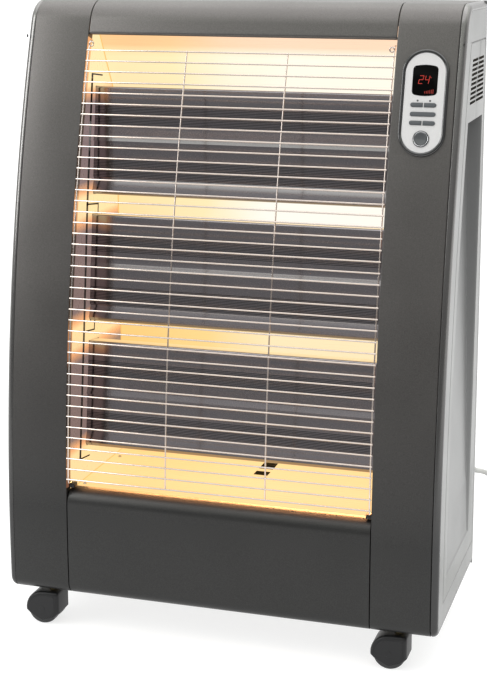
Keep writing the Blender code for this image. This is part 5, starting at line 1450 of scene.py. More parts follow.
@dataclass
class HeatChamber(SubAssembly):
    """The emitters and the reflectors round them, whose light is painted on as a glow."""

    height: float = 0.168
    depth: float = 0.040
    pitch: float = 0.1982
    top: float = 0.8415
    setback: float = 0.1545
    lean: float = math.radians(7.3)
    grooves: int = 12
    groove_pitch: float = 0.00235
    groove_depth: float = 0.0012
    groove_share: float = 0.36
    groove_starts: tuple[float, float] = (0.18, 0.67)
    ridge: float = 0.0034
    ridge_line: Profile = (
        (0.355, 0.0), (0.365, 0.02), (0.450, 0.10), (0.452, 0.12), (0.500, 0.93), (0.502, 0.95), (0.5025, 0.02),
        (0.52, 0.0),
    )
    foot_line: Profile = ((0.842, 0.0), (0.850, -0.81), (0.853, -0.77), (0.962, 0.67), (0.965, 0.68))
    arm_slit: float = 0.0024
    front_slit: float = 0.0078
    rear_slit: float = 0.0046
    collar_fronts: tuple[float, float, float, float] = (0.0140, 0.0203, 0.0200, 0.0215)
    collar_rears: tuple[float, float, float, float] = (0.0255, 0.0225, 0.0205, 0.0150)
    collar_ends: tuple[float, float] = (0.0182, 0.0180)
    hood: tuple[Point, Point] = ((0.0639, 0.8128), (-0.0078, 0.940))
    plate_inset: float = 0.0163
    plate: float = 0.0008
    gap: float = 0.0003
    overlap: float = 0.001
    crease: float = 0.0009
    foot_setback: float = 0.0032
    front_round: float = 0.003
    rear_round: float = 0.006
    bite: float = 0.004
    flat_cosine: float = 0.93
    skirt_area: float = 0.01
    groove_area: float = 0.001
    screw_radius: float = 0.0030
    notch: Spot = (0.009, 0.033, -0.004)
    notch_bar: Point = (0.022, 0.032)
    flap: float = 0.006
    flap_inset: float = 0.001
    flap_turn: float = math.radians(50)
    screws: Profile = ((-0.2286, 0.0186), (-0.2314, -0.1191), (0.2286, 0.0186), (0.2314, -0.1191))

    def point(self, index: int, down: float, forward: float) -> Point:
        """Place a point of an emitter's profile.

        Args:
            index: the emitter, counted from the top.
            down: how far the point lies down its face.
            forward: how far it lies in front of the face.

        Returns:
            The point's (y, z).
        """
        top_y = self.cabinet.front + self.setback - index * self.pitch * math.tan(self.lean)
        top_z = self.top - index * self.pitch
        cos, sin = math.cos(self.lean), math.sin(self.lean)
        return top_y - down * sin - forward * cos, top_z - down * cos + forward * sin

    def sized(self, line: Profile) -> list[Point]:
        """Return a line that is given in shares of the height and of the ridge as (down, forward)."""
        return [(share * self.height, rise * self.ridge) for share, rise in line]

    def face(self) -> list[Point]:
        """Draw the front profile of an emitter.

        Returns:
            Its (down, forward) points, from top to bottom.
        """

        def band(start: float) -> list[Point]:
            """Draw one band of fine grooves.

            Args:
                start: how far down the face it starts.

            Returns:
                Its (down, forward) points.
            """
            points = [(start, 0.0)]
            for i in range(self.grooves):
                near = start + (i + 0.5 - self.groove_share / 2) * self.groove_pitch
                far = near + self.groove_share * self.groove_pitch
                points += [(near, 0.0), (near, -self.groove_depth), (far, -self.groove_depth), (far, 0.0)]
            return points

        upper, lower = (share * self.height for share in self.groove_starts)
        ridge, foot = self.sized(self.ridge_line), self.sized(self.foot_line)
        return [*band(upper), *ridge, *band(lower), *foot]

    def build(self) -> None:
        """Make the emitters, the side plates and the lower reflector."""
        for index, name in enumerate(("emitter_top", "emitter_middle", "emitter_bottom")):
            self.build_emitter(index, name)
        for side in Side:
            self.build_plate(side)
        self.build_floor()

    def build_emitter(self, index: int, node: str) -> None:
        """Make one emitter; its upper and lower skirts carry a painted reflection of the reflectors' glow, and its
        groove floors a painted black shade.

        Args:
            index: its place, counted from the top.
            node: the CAD node that it stands for.
        """
        front, rear = self.front_round, self.rear_round
        outline = [
            (0.0, 0.0), *self.face(), (self.height, -self.foot_setback), (self.height, -self.depth), (0.0, -self.depth),
        ]
        count = len(outline)
        end = self.cabinet.opening_half + self.gap + self.plate + self.overlap
        wire = section(outline, {0: front, count - 3: front, count - 2: rear, count - 1: rear}, segments=5)
        places = [lambda down, forward, x=x: Vector((x, *self.point(index, down, forward))) for x in (-end, end)]
        body = face_outward(sweep(wire, places))
        tall, deep = math.cos(self.lean), math.sin(self.lean)
        corner_y, corner_z = self.point(index, 0.0, 0.0)
        for face in body.faces:
            upright = abs(face.normal.z * tall - face.normal.y * deep)
            centre = face.calc_center_median()
            forward = (centre.z - corner_z) * deep - (centre.y - corner_y) * tall
            # Skirt faces take the painted reflection; groove floors take the black painted shade.
            if upright > self.flat_cosine and face.calc_area() > self.skirt_area:
                face.material_index = 1
            elif abs(forward + self.groove_depth) < 0.1 * self.groove_depth and face.calc_area() < self.groove_area:
                face.material_index = 2
        piece = self.publish(f"{node}_duct", body, "emitter_coat", "emitter_coat", [node], angle=0.5)
        piece.data.materials.append(self.finishes["skirt_painted_reflection"])
        piece.data.materials.append(self.finishes["black_and_groove_shade"])

    def ribbon(self, points: Sequence[Point], width: float, low: float, high: float) -> BMesh:
        """Make the tool of one slot along a row of (y, z) points, from one X to another.

        Args:
            points: the slot's middle line.
            width: its width.
            low: the lower X.
            high: the upper X.

        Returns:
            The tool.
        """
        line = [Vector(point) for point in points]
        line[0] += (line[0] - line[1]).normalized() * self.arm_slit / 2
        line[-1] += (line[-1] - line[-2]).normalized() * self.arm_slit / 2
        along = (line[-1] - line[0]).normalized()
        across = Vector((-along.y, along.x)) * width / 2
        outline = [tuple(point - across) for point in line] + [tuple(point + across) for point in reversed(line)]
        return prism_x(outline, low, high)

    def build_plate(self, side: Side) -> None:
        """Make a side plate, with the ducts' windows and the slots round their collars.

        Args:
            side: the plate's side.
        """
        node = f"reflector_{side.word}"
        corner, far_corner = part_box(node)
        bottom, rear = corner[2], far_corner[1]
        foot, head = self.hood
        steps = 24
        levels = [bottom + (head[1] - bottom) * i / steps for i in range(steps + 1)]
        outline = [(self.cabinet.front_at(z, self.plate_inset), z) for z in levels]
        outline += [(head[0] + self.plate, head[1]), (foot[0] + self.plate, foot[1]), (rear, bottom)]
        inner = self.cabinet.opening_half + self.gap
        low, high = sorted((side.value * inner, side.value * (inner + self.plate)))
        # The plate carries painted light, with painted shade beside the emitters.
        plate = self.publish(
            f"{side.word}_plate", prism_x(outline, low, high), "side_painted_light", "reflector_steel", [node]
        )
        low, high = low - self.overlap, high + self.overlap
        margin = 2 * self.gap
        ridge, foot_line = self.sized(self.ridge_line), self.sized(self.foot_line)
        front = [(-margin, 0.0), *ridge, *foot_line, (self.height + margin, -self.foot_setback)]
        corners = [(down, forward + margin) for down, forward in front]
        corners += [(self.height + margin, -self.depth - margin), (-margin, -self.depth - margin)]
        windows = bmesh.new()
        for index in range(3):
            merge(windows, prism_x([self.point(index, *corner) for corner in corners], low, high))
        half_gap = (self.pitch / math.cos(self.lean) - self.height) / 2
        downs = (-self.collar_ends[0], -half_gap, -half_gap, self.height + self.collar_ends[1])
        places = tuple(zip((0, 1, 2, 2), downs))
        row = [self.point(index, down, forward) for (index, down), forward in zip(places, self.collar_fronts)]
        uprights = self.ribbon(row, self.front_slit, low, high)
        for near, end, back in ((-half_gap, self.bite, 1), (self.height - self.bite, self.height + half_gap, 2)):
            row = [self.point(1, down, -self.collar_rears[back]) for down in (near, end)]
            merge(uprights, self.ribbon(row, self.rear_slit, low, high))
        arms = bmesh.new()
        for (index, down), front, back in zip(places, self.collar_fronts, self.collar_rears):
            row = [self.point(index, down, front), self.point(index, down, -back)]
            merge(arms, self.ribbon(row, self.arm_slit, low, high))
        for tool in (windows, uprights, arms):
            carve(plate, tool)
        x = side.value * (inner - self.crease)
        floor = bottom + self.crease
        rows = (
            [Vector((x, y, z)) for y, z in self.hood],
            [Vector((x, self.cabinet.front_at(floor, self.plate_inset), floor)), Vector((x, foot[0], floor))],
            [Vector((x, foot[0], floor)), Vector((x, *foot))],
        )
        # Thin lit tubes along the plate's folds: a painted highlight on the creases.
        creases = bmesh.new()
        for row in rows:
            merge(creases, tube(row, self.crease, 6))
        self.publish(f"{side.word}_creases", creases, "crease_painted_highlight", "reflector_steel")

    def build_floor(self) -> None:
        """Make the lower reflector with its notch, and its two screws."""
        node = "reflector_bottom"
        low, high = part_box(node)
        left, right, front = self.notch
        near, far = self.notch_bar
        bm = bmesh.new()
        for start, end in ((low[0], left), (right, high[0])):
            merge(bm, box((start, low[1], low[2]), (end, high[1], high[2])))
        merge(bm, box((left, low[1], low[2]), (right, front, high[2])))
        merge(bm, box((left, front + near, low[2]), (right, front + far, high[2])))
        flap = box(
            (left + self.flap_inset, front, high[2] - self.flap),
            (right - self.flap_inset, front + self.plate, high[2]),
        )
        turn = Matrix.Rotation(self.flap_turn, 3, "X")
        bmesh.ops.rotate(flap, cent=(0, front, high[2]), matrix=turn, verts=flap.verts[:])
        merge(bm, flap)
        # The lower reflector carries painted light.
        self.publish("floor_plate", bm, "floor_painted_light", "reflector_steel", [node])
        heads = bmesh.new()
        for x, y in self.screws:
            merge(heads, screw((x, y, high[2]), (0, 0, 1), self.screw_radius))
        self.publish("floor_screws", heads, "screw_steel", "reflector_steel")


@dataclass
class ControlPanel(SubAssembly):
    """The leaning control panel: bezel, face, display, keys and the power button."""

    centre_x: float = 0.2872
    centre_z: float = 0.8357
    width: float = 0.0692
    height: float = 0.156
    depth: float = 0.012
    face: float = 0.0012
    window_size: tuple[float, float] = (0.0362, 0.0452)
    window_bow: float = 0.0022
    window_corner: float = 0.004
    window_offset: float = 0.0323
    key_height: float = 0.0061
    key_width: float = 0.0177
    key_spacing: float = 0.0199
    key_wide: float = 0.0374
    key_rows: Spot = (-0.0034, -0.0168, -0.0296)
    key_proud: float = 0.0014
    key_length: float = 0.0070
    power_offset: float = -0.0526
    power_radius: float = 0.0095
    power_proud: float = 0.0020
    ring_radius: float = 0.0120
    digit_size: tuple[float, float] = (0.0064, 0.0122)
    digit_slant: float = 0.17
    digits: tuple[tuple[str, float], ...] = (("2", -0.0100), ("4", -0.0012))
    digit_drop: float = 0.0052
    bar_heights: tuple[float, ...] = (0.0030, 0.0036, 0.0042, 0.0048, 0.0054, 0.0062)
    bar_left: float = 0.0002
    bar_pitch: float = 0.0024
    bar_width: float = 0.0009
    bar_drop: float = 0.0190
    degree_place: Point = (0.0082, 0.0042)
    degree_profile: Profile = ((0.0009, 0.0), (0.0009, 0.00012), (0.0005, 0.00012), (0.0005, 0.0))
    mark_profile: Profile = ((0.0, 0.0), (0.0014, 0.0), (0.0012, 0.00012), (0.0, 0.00012))
    mark_shifts: Point = (0.0012, 0.0006)
    mark_rise: float = 0.0062
    glass: float = 0.0005
    glass_depth: float = 0.003
    lit_rise: float = 0.00015
    digit_bar: float = 0.0008
    key_crown: float = 0.0007
    key_corner: float = 0.0005
    gap: float = 0.0003
    sink: float = 0.0002
    ring_lip: float = 0.0007
    seat_reach: Point = (0.02, -0.0145)
    corners: int = 64

    def frame(self) -> Matrix:
        """Return the place of the panel's own frame: x to the right, -y outwards and z up the panel."""
        cabinet = self.cabinet
        lean = math.asin((self.centre_z - cabinet.bulge) / cabinet.radius)
        place = Matrix.Translation((self.centre_x, cabinet.front_at(self.centre_z), self.centre_z))
        return place @ Matrix.Rotation(-lean, 4, "X")

    def publish(self, name: str, bm: BMesh, *dress: object, **options: object) -> Piece:
        """Put a piece that was modelled in the panel's frame in its place and publish it.

        Args:
            name: the piece's name.
            bm: its mesh, in the panel's frame.
            dress: its finish, its slot, the nodes that it stands for and its body.
            options: its sharp angle, or its body by name.

        Returns:
            The piece.
        """
        bmesh.ops.transform(bm, matrix=self.frame(), verts=bm.verts[:])
        return super().publish(name, bm, *dress, **options)

    def build(self, pillar: Piece) -> None:
        """Make the panel and cut its seat into the pillar.

        Args:
            pillar: the right pillar.
        """
        self.cut_seat(pillar)
        self.build_bezel()
        self.build_display()
        self.build_keys()
        self.build_power()

    def stadium(self, bm: BMesh, inward: float, out: float) -> list[bmesh.types.BMEdge]:
        """Draw an upright stadium.

        Args:
            bm: where it is drawn.
            inward: how far inside the panel's outline it lies.
            out: its height over the pillar's face.

        Returns:
            Its edges.
        """
        radius = self.width / 2 - inward
        straight = self.height / 2 - self.width / 2
        ring = bmesh.ops.create_circle(bm, cap_ends=False, segments=self.corners, radius=radius)["verts"]
        turn = Matrix.Rotation(math.pi / self.corners, 4, "Z")
        bmesh.ops.transform(bm, matrix=turn, verts=ring)
        for vertex in ring:
            x, v = vertex.co.x, vertex.co.y
            vertex.co = Vector((x, -out, v + math.copysign(straight, v)))
        return list({edge for vertex in ring for edge in vertex.link_edges})

    def cut_seat(self, pillar: Piece) -> None:
        """Cut the panel's seat out of the pillar's skin.

        Args:
            pillar: the right pillar.
        """
        bm = bmesh.new()
        rings = [self.stadium(bm, self.gap, out) for out in self.seat_reach]
        bmesh.ops.bridge_loops(bm, edges=rings[0] + rings[1])
        for ring in rings:
            bmesh.ops.edgeloop_fill(bm, edges=ring)
        bmesh.ops.transform(bm, matrix=self.frame(), verts=bm.verts[:])
        carve(pillar, bm)

    def build_bezel(self) -> None:
        """Make the glossy rim, rounded over its outer edge and sloping in to the face."""
        rim = (
            (0.0, -self.depth), (0.0, 0.0006), (0.0003, 0.0015), (0.0010, 0.0022), (0.0020, 0.0026),
            (0.0032, 0.0026), (0.0044, 0.0022), (0.0052, 0.0016), (0.0054, 0.00125), (0.0037, 0.00122),
            (0.0037, -self.depth),
        )
        bm = bmesh.new()
        rings = [self.stadium(bm, inward, out) for inward, out in rim]
        for first, second in zip(rings, rings[1:] + rings[:1]):
            bmesh.ops.bridge_loops(bm, edges=first + second)
        self.publish("bezel_rim", bm, "bezel_gloss", "bezel_gloss", ["control_bezel"], angle=0.9)

    @staticmethod
    def raised(wire: BMesh, low: float, high: float) -> BMesh:
        """Raise a wire of (x, v) points from one height over the pillar's face to another."""
        return sweep(wire, [lambda x, v, out=out: Vector((x, -out, v)) for out in (low, high)])

    def tile(
        self, outline: Sequence[Point], fillets: dict[int, float], low: float, high: float, crown: float
    ) -> BMesh:
        """Make a flat tile with a crowned top edge.

        Args:
            outline: its (x, v) corners.
            fillets: the radius of each rounded corner, by its index.
            low: its underside over the pillar's face.
            high: its top.
            crown: the radius of its top edge.

        Returns:
            The tile.
        """
        bm = face_outward(self.raised(section(outline, fillets, segments=6), low, high - crown))
        top = max(bm.faces, key=lambda face: (-face.calc_center_median().y, face.calc_area()))
        for step in range(4):
            start, end = QUARTER * step / 4, QUARTER * (step + 1) / 4
            inward = crown * (math.cos(start) - math.cos(end))
            rise = crown * (math.sin(end) - math.sin(start))
            bmesh.ops.inset_region(bm, faces=[top], thickness=inward, use_even_offset=True)
            bmesh.ops.translate(bm, vec=Vector((0, -rise, 0)), verts=top.verts[:])
        return bm

    def build_display(self) -> None:
        """Make the dark window with its bowed ends, and what is lit behind it."""
        half, tall = self.window_size[0] / 2, self.window_size[1] / 2
        side = tall - self.window_bow
        outline = []
        for turn in (1, -1):
            for i in range(9):
                share = 1 - i / 4
                outline.append(
                    (turn * half * share, self.window_offset + turn * (side + self.window_bow * (1 - share * share)))
                )
        corners = {index: self.window_corner for index in (0, 8, 9, 17)}
        bm = self.tile(outline, corners, self.face - self.glass_depth, self.face + self.glass, self.glass)
        self.publish("window", bm, "window_gloss", "window_glass", ["display_window"])
        lit = bmesh.new()
        for digit, left in self.digits:
            for outline in self.segments(digit, left, self.window_offset - self.digit_drop):
                merge(lit, self.lit_tile(outline))
        self.publish("digits", lit, "digit_red", "window_glass")
        bars = bmesh.new()
        base = self.window_offset - self.bar_drop
        for i, height in enumerate(self.bar_heights):
            left = self.bar_left + i * self.bar_pitch
            merge(bars, self.lit_tile(rectangle(left, base, left + self.bar_width, base + height)))
        self.publish("level_bars", bars, "digit_dim", "window_glass")
        x, rise = self.degree_place
        place = (x, -self.face - self.glass, self.window_offset + rise)
        mark = turned(self.degree_profile, place, (0, -1, 0), 16)
        self.publish("degree_mark", mark, "digit_dim", "window_glass")

    def lit_tile(self, outline: Sequence[Point]) -> BMesh:
        """Make one thin lit segment that lies on the window."""
        top = self.face + self.glass
        return self.raised(section(outline), top - self.sink, top + self.lit_rise)

    def segments(self, digit: str, left: float, base: float) -> list[list[Point]]:
        """Return the outlines of a seven-segment digit.

        Args:
            digit: the figure, 2 or 4.
            left: its left edge.
            base: its foot.

        Returns:
            Slanted quadrilaterals, as (x, v) corners.
        """
        width, height = self.digit_size
        bar, gap = self.digit_bar, self.gap
        middle = height / 2
        plan = {
            "top": (gap, height - bar, width - gap, height),
            "centre": (gap, middle - bar / 2, width - gap, middle + bar / 2),
            "foot": (gap, 0.0, width - gap, bar), "upper_left": (0.0, middle + gap, bar, height - gap),
            "upper_right": (width - bar, middle + gap, width, height - gap),
            "lower_left": (0.0, gap, bar, middle - gap), "lower_right": (width - bar, gap, width, middle - gap),
        }
        lit = {
            "2": ("top", "upper_right", "centre", "lower_left", "foot"),
            "4": ("upper_left", "centre", "upper_right", "lower_right"),
        }
        outlines = []
        for name in lit[digit]:
            outlines.append([(left + x + self.digit_slant * v, base + v) for x, v in rectangle(*plan[name])])
        return outlines

    def build_keys(self) -> None:
        """Make the five keys and the two small marks over the upper pair."""
        upper, middle, lower = self.key_rows
        offset, tall = self.key_spacing / 2, self.key_height / 2
        plan = (
            ("key_temperature_up", -offset, upper, self.key_width, (True, False)),
            ("key_temperature_down", offset, upper, self.key_width, (False, True)),
            ("key_heat_mode", 0.0, middle, self.key_wide, (True, True)),
            ("key_timer_set", -offset, lower, self.key_width, (True, False)),
            ("key_timer_start", offset, lower, self.key_width, (False, True)),
        )
        high = self.face + self.key_proud
        for name, x, v, width, (left, right) in plan:
            half = width / 2
            outline = rectangle(x - half, v - tall, x + half, v + tall)
            radii = [tall * 0.97 if bent else self.key_corner for bent in (left, right, right, left)]
            bm = self.tile(outline, dict(enumerate(radii)), high - self.key_length, high, self.key_crown)
            self.publish(f"cap_{name[4:]}", bm, "key_plastic", "key_plastic", [name], body=name)
        marks = bmesh.new()
        left, right = self.mark_shifts
        for x in (-offset + left, offset - right):
            merge(marks, turned(self.mark_profile, (x, -self.face, upper + self.mark_rise), (0, -1, 0), 12))
        self.publish("key_marks", marks, "mark_grey", "white_face")

    def build_power(self) -> None:
        """Make the dished power button and the bright ring round its hole."""
        radius, high = self.power_radius, self.face + self.power_proud
        inner, outer = radius + self.gap, self.ring_radius - self.ring_lip
        low = self.face - self.sink
        cap = [
            (0.0, high - self.key_length), (radius, high - self.key_length), (radius, high - 0.0009),
            (radius * 0.98, high - 0.0004), (radius * 0.92, high), (radius * 0.84, high - 0.0001),
            (radius * 0.6, high - 0.0006), (radius * 0.3, high - 0.0009), (0.0, high - 0.001),
        ]
        seat = [(outer, 0.0), (outer, 0.0013), (self.ring_radius, 0.0010), (self.ring_radius, 0.0)]
        seat = [(r, low + out) for r, out in (*seat, seat[0])]
        ring = [
            (inner, low), (inner, self.face + 0.0011), (inner + 0.0005, self.face + 0.0016),
            ((inner + outer) / 2, self.face + 0.0017), (outer - 0.0005, self.face + 0.0011),
            (outer, self.face + self.sink), (outer, low), (inner, low),
        ]
        for name, profile, *dress in (
            ("power_cap", cap, "button_plastic", "key_plastic", ["power_button"], "power_button"),
            ("power_seat", seat, "button_plastic", "key_plastic"),
            ("power_ring", ring, "chrome_ring", "chrome_wire"),
        ):
            self.publish(name, turned(profile, (0, 0, self.power_offset), (0, -1, 0), 48), *dress)


@dataclass
class Casters(SubAssembly):
    """The four twin-wheel casters: hoods that swivel and wheels that roll."""

    centre: float = 0.2806
    setbacks: tuple[float, float] = (0.0325, 0.2780)
    trail: float = 0.012
    width: float = 0.045
    wheel: float = 0.025
    chamfer: float = 0.004
    web: float = 0.011
    axle: float = 0.004
    hood: float = 0.0288
    taper: float = 0.006
    face_radius: float = 0.0238
    cover: float = 0.0015
    clearance: float = 0.0010
    top: float = 0.0295
    block: float = 0.027
    corner: float = 0.005
    corner_line: Profile = ((1, 0), (0.62, 0.08), (0.29, 0.29), (0.08, 0.62), (0, 1))
    point: float = 0.0215
    left_angle: float = math.radians(188.0)
    left_shoulder: Point = (-0.0205, -0.0115)
    right_shoulder: Point = (0.0200, -0.0140)
    right_skirt: float = 0.006
    stem: float = 0.004
    collar: float = 0.008
    gap: float = 0.0003
    stem_top: float = 0.0850
    stem_sink: float = 0.002
    stem_edge: float = 0.001
    pan_rise: float = 0.0055
    disc_share: float = 0.93
    disc_steps: Profile = ((-0.0004, 1.0), (0.0002, 1.0), (0.0006, 0.985))
    hub_profile: Profile = ((0, 0), (0.0052, 0), (0.0048, 0.0005), (0.0, 0.0006))
    hub_rise: float = 0.0005
    tread_edge: float = 0.0015
    tread_drop: float = 0.0012

    def build(self) -> None:
        """Make the four casters."""
        for row, setback in zip(("front", "rear"), self.setbacks):
            for side in Side:
                self.build_one(f"{row}_{side.word}", side.value * self.centre, self.cabinet.front + setback)

    @staticmethod
    def layered(wire: BMesh, axle: Vector, steps: Iterable[Point]) -> BMesh:
        """Sweep an outline about the axle through steps of (Y, scale)."""
        return sweep(wire, [lambda x, z, y=y, size=size: axle + Vector((x * size, y, z * size)) for y, size in steps])

    def outline(self, scale: float = 1.0) -> list[Point]:
        """Draw the hood's outline about the axle.

        Args:
            scale: how large it is drawn.

        Returns:
            Its (x, z) points.
        """
        points = []
        for i in range(25):
            angle = self.left_angle + (QUARTER - self.left_angle) * i / 24
            points.append((self.hood * math.cos(angle), self.hood * math.sin(angle)))
        points.append((self.trail - self.collar, self.top))
        points += [(self.block - self.corner * back, self.top - self.corner * down) for back, down in self.corner_line]
        points += [(self.block, -self.right_skirt), self.right_shoulder, (0.0, -self.point), self.left_shoulder]
        return [(x * scale, z * scale) for x, z in points]

    def build_one(self, name: str, x: float, y: float) -> None:
        """Make one caster.

        Args:
            name: its row and side.
            x: its stem's X.
            y: its stem's Y.
        """
        axle = Vector((x - self.trail, y, self.wheel))
        half, share = self.width / 2, self.face_radius / self.hood
        plan = [(-half, share)] + [
            (-half + self.taper * (1 - math.cos(QUARTER * i / 5)), share + (1 - share) * math.sin(QUARTER * i / 5))
            for i in range(1, 6)
        ]
        plan += [(-across, size) for across, size in reversed(plan)]
        bm = self.layered(section(self.outline()), axle, plan)
        hood = self.publish(
            f"{name}_hood_shell", bm, "black_plastic", "black_plastic", [f"{name}_caster_hood"], f"{name}_hood"
        )
        self.hollow(hood, axle, y)
        self.build_cover(name, axle, half)
        self.build_stem(name, x, y)
        self.build_wheels(name, axle, half)

    def hollow(self, hood: Piece, axle: Vector, y: float) -> None:
        """Take the wheels' pockets and the axle's bore out of a hood.

        Args:
            hood: the hood.
            axle: the middle of its axle.
            y: the middle's Y.
        """
        radius = self.wheel + self.clearance
        far = self.width / 2 - self.cover - self.web / 2
        pocket = [(0, 0), (radius, 0), (radius, far - self.chamfer), (radius - self.chamfer, far), (0, far)]
        for turn in (-1, 1):
            start = (axle.x, y + turn * self.web / 2, axle.z)
            carve(hood, turned(pocket, start, (0, turn, 0), 48))
        bore = self.axle + self.gap
        tool = turned(
            [(0, 0), (bore, 0), (bore, 2 * self.web), (0, 2 * self.web)], (axle.x, y - self.web, axle.z), (0, 1, 0), 24
        )
        carve(hood, tool)

    def build_cover(self, name: str, axle: Vector, half: float) -> None:
        """Make the flat disc with a pointed foot on each side of a hood.

        Args:
            name: its row and side.
            axle: the middle of its axle.
            half: half the caster's width.
        """
        share = self.face_radius / self.hood
        bm = bmesh.new()
        for turn in (-1, 1):
            shape = section([(x * self.disc_share, z * self.disc_share) for x, z in self.outline(share)])
            merge(bm, self.layered(shape, axle, [(turn * (half + out), size) for out, size in self.disc_steps]))
            start = (axle.x, axle.y + turn * (half + self.hub_rise), axle.z)
            merge(bm, turned(self.hub_profile, start, (0, turn, 0), 24))
        self.publish(f"{name}_hood_discs", bm, "disc_plastic", "black_plastic", body=f"{name}_hood")

    def build_stem(self, name: str, x: float, y: float) -> None:
        """Make the plated collar and stem over a hood.

        Args:
            name: its row and side.
            x: its X.
            y: its Y.
        """
        base = self.wheel + self.top - self.stem_sink
        under = self.cabinet.bottom + self.pan_rise - self.gap
        edge = self.stem_edge
        profile = [
            (0, base), (self.collar, base), (self.collar, under - edge), (self.collar - edge, under),
            (self.stem, under), (self.stem, self.stem_top - edge), (self.stem - edge, self.stem_top),
            (0, self.stem_top),
        ]
        bm = turned(profile, (x, y, 0), (0, 0, 1), 24)
        self.publish(f"{name}_stem", bm, "zinc_plate", "brass", body=f"{name}_hood")

    def build_wheels(self, name: str, axle: Vector, half: float) -> None:
        """Make a pair of wheels on their axle.

        Args:
            name: its row and side.
            axle: the middle of its axle.
            half: half the caster's width.
        """
        near, far = self.web / 2 + self.gap, half - self.cover - self.gap
        radius, edge, drop = self.wheel, self.tread_edge, self.tread_drop
        wheel = [
            (self.axle, near), (radius - edge, near), (radius, near + edge), (radius, far - self.chamfer),
            (radius - drop, far - self.chamfer * 0.3), (radius - self.chamfer, far), (0, far),
        ]
        bm = turned([*((r, -along) for r, along in reversed(wheel)), *wheel], axle, (0, 1, 0), 48)
        self.publish(
            f"{name}_wheel_pair", bm, "wheel_rubber", "black_plastic", [f"{name}_caster_wheels"], f"{name}_wheels"
        )


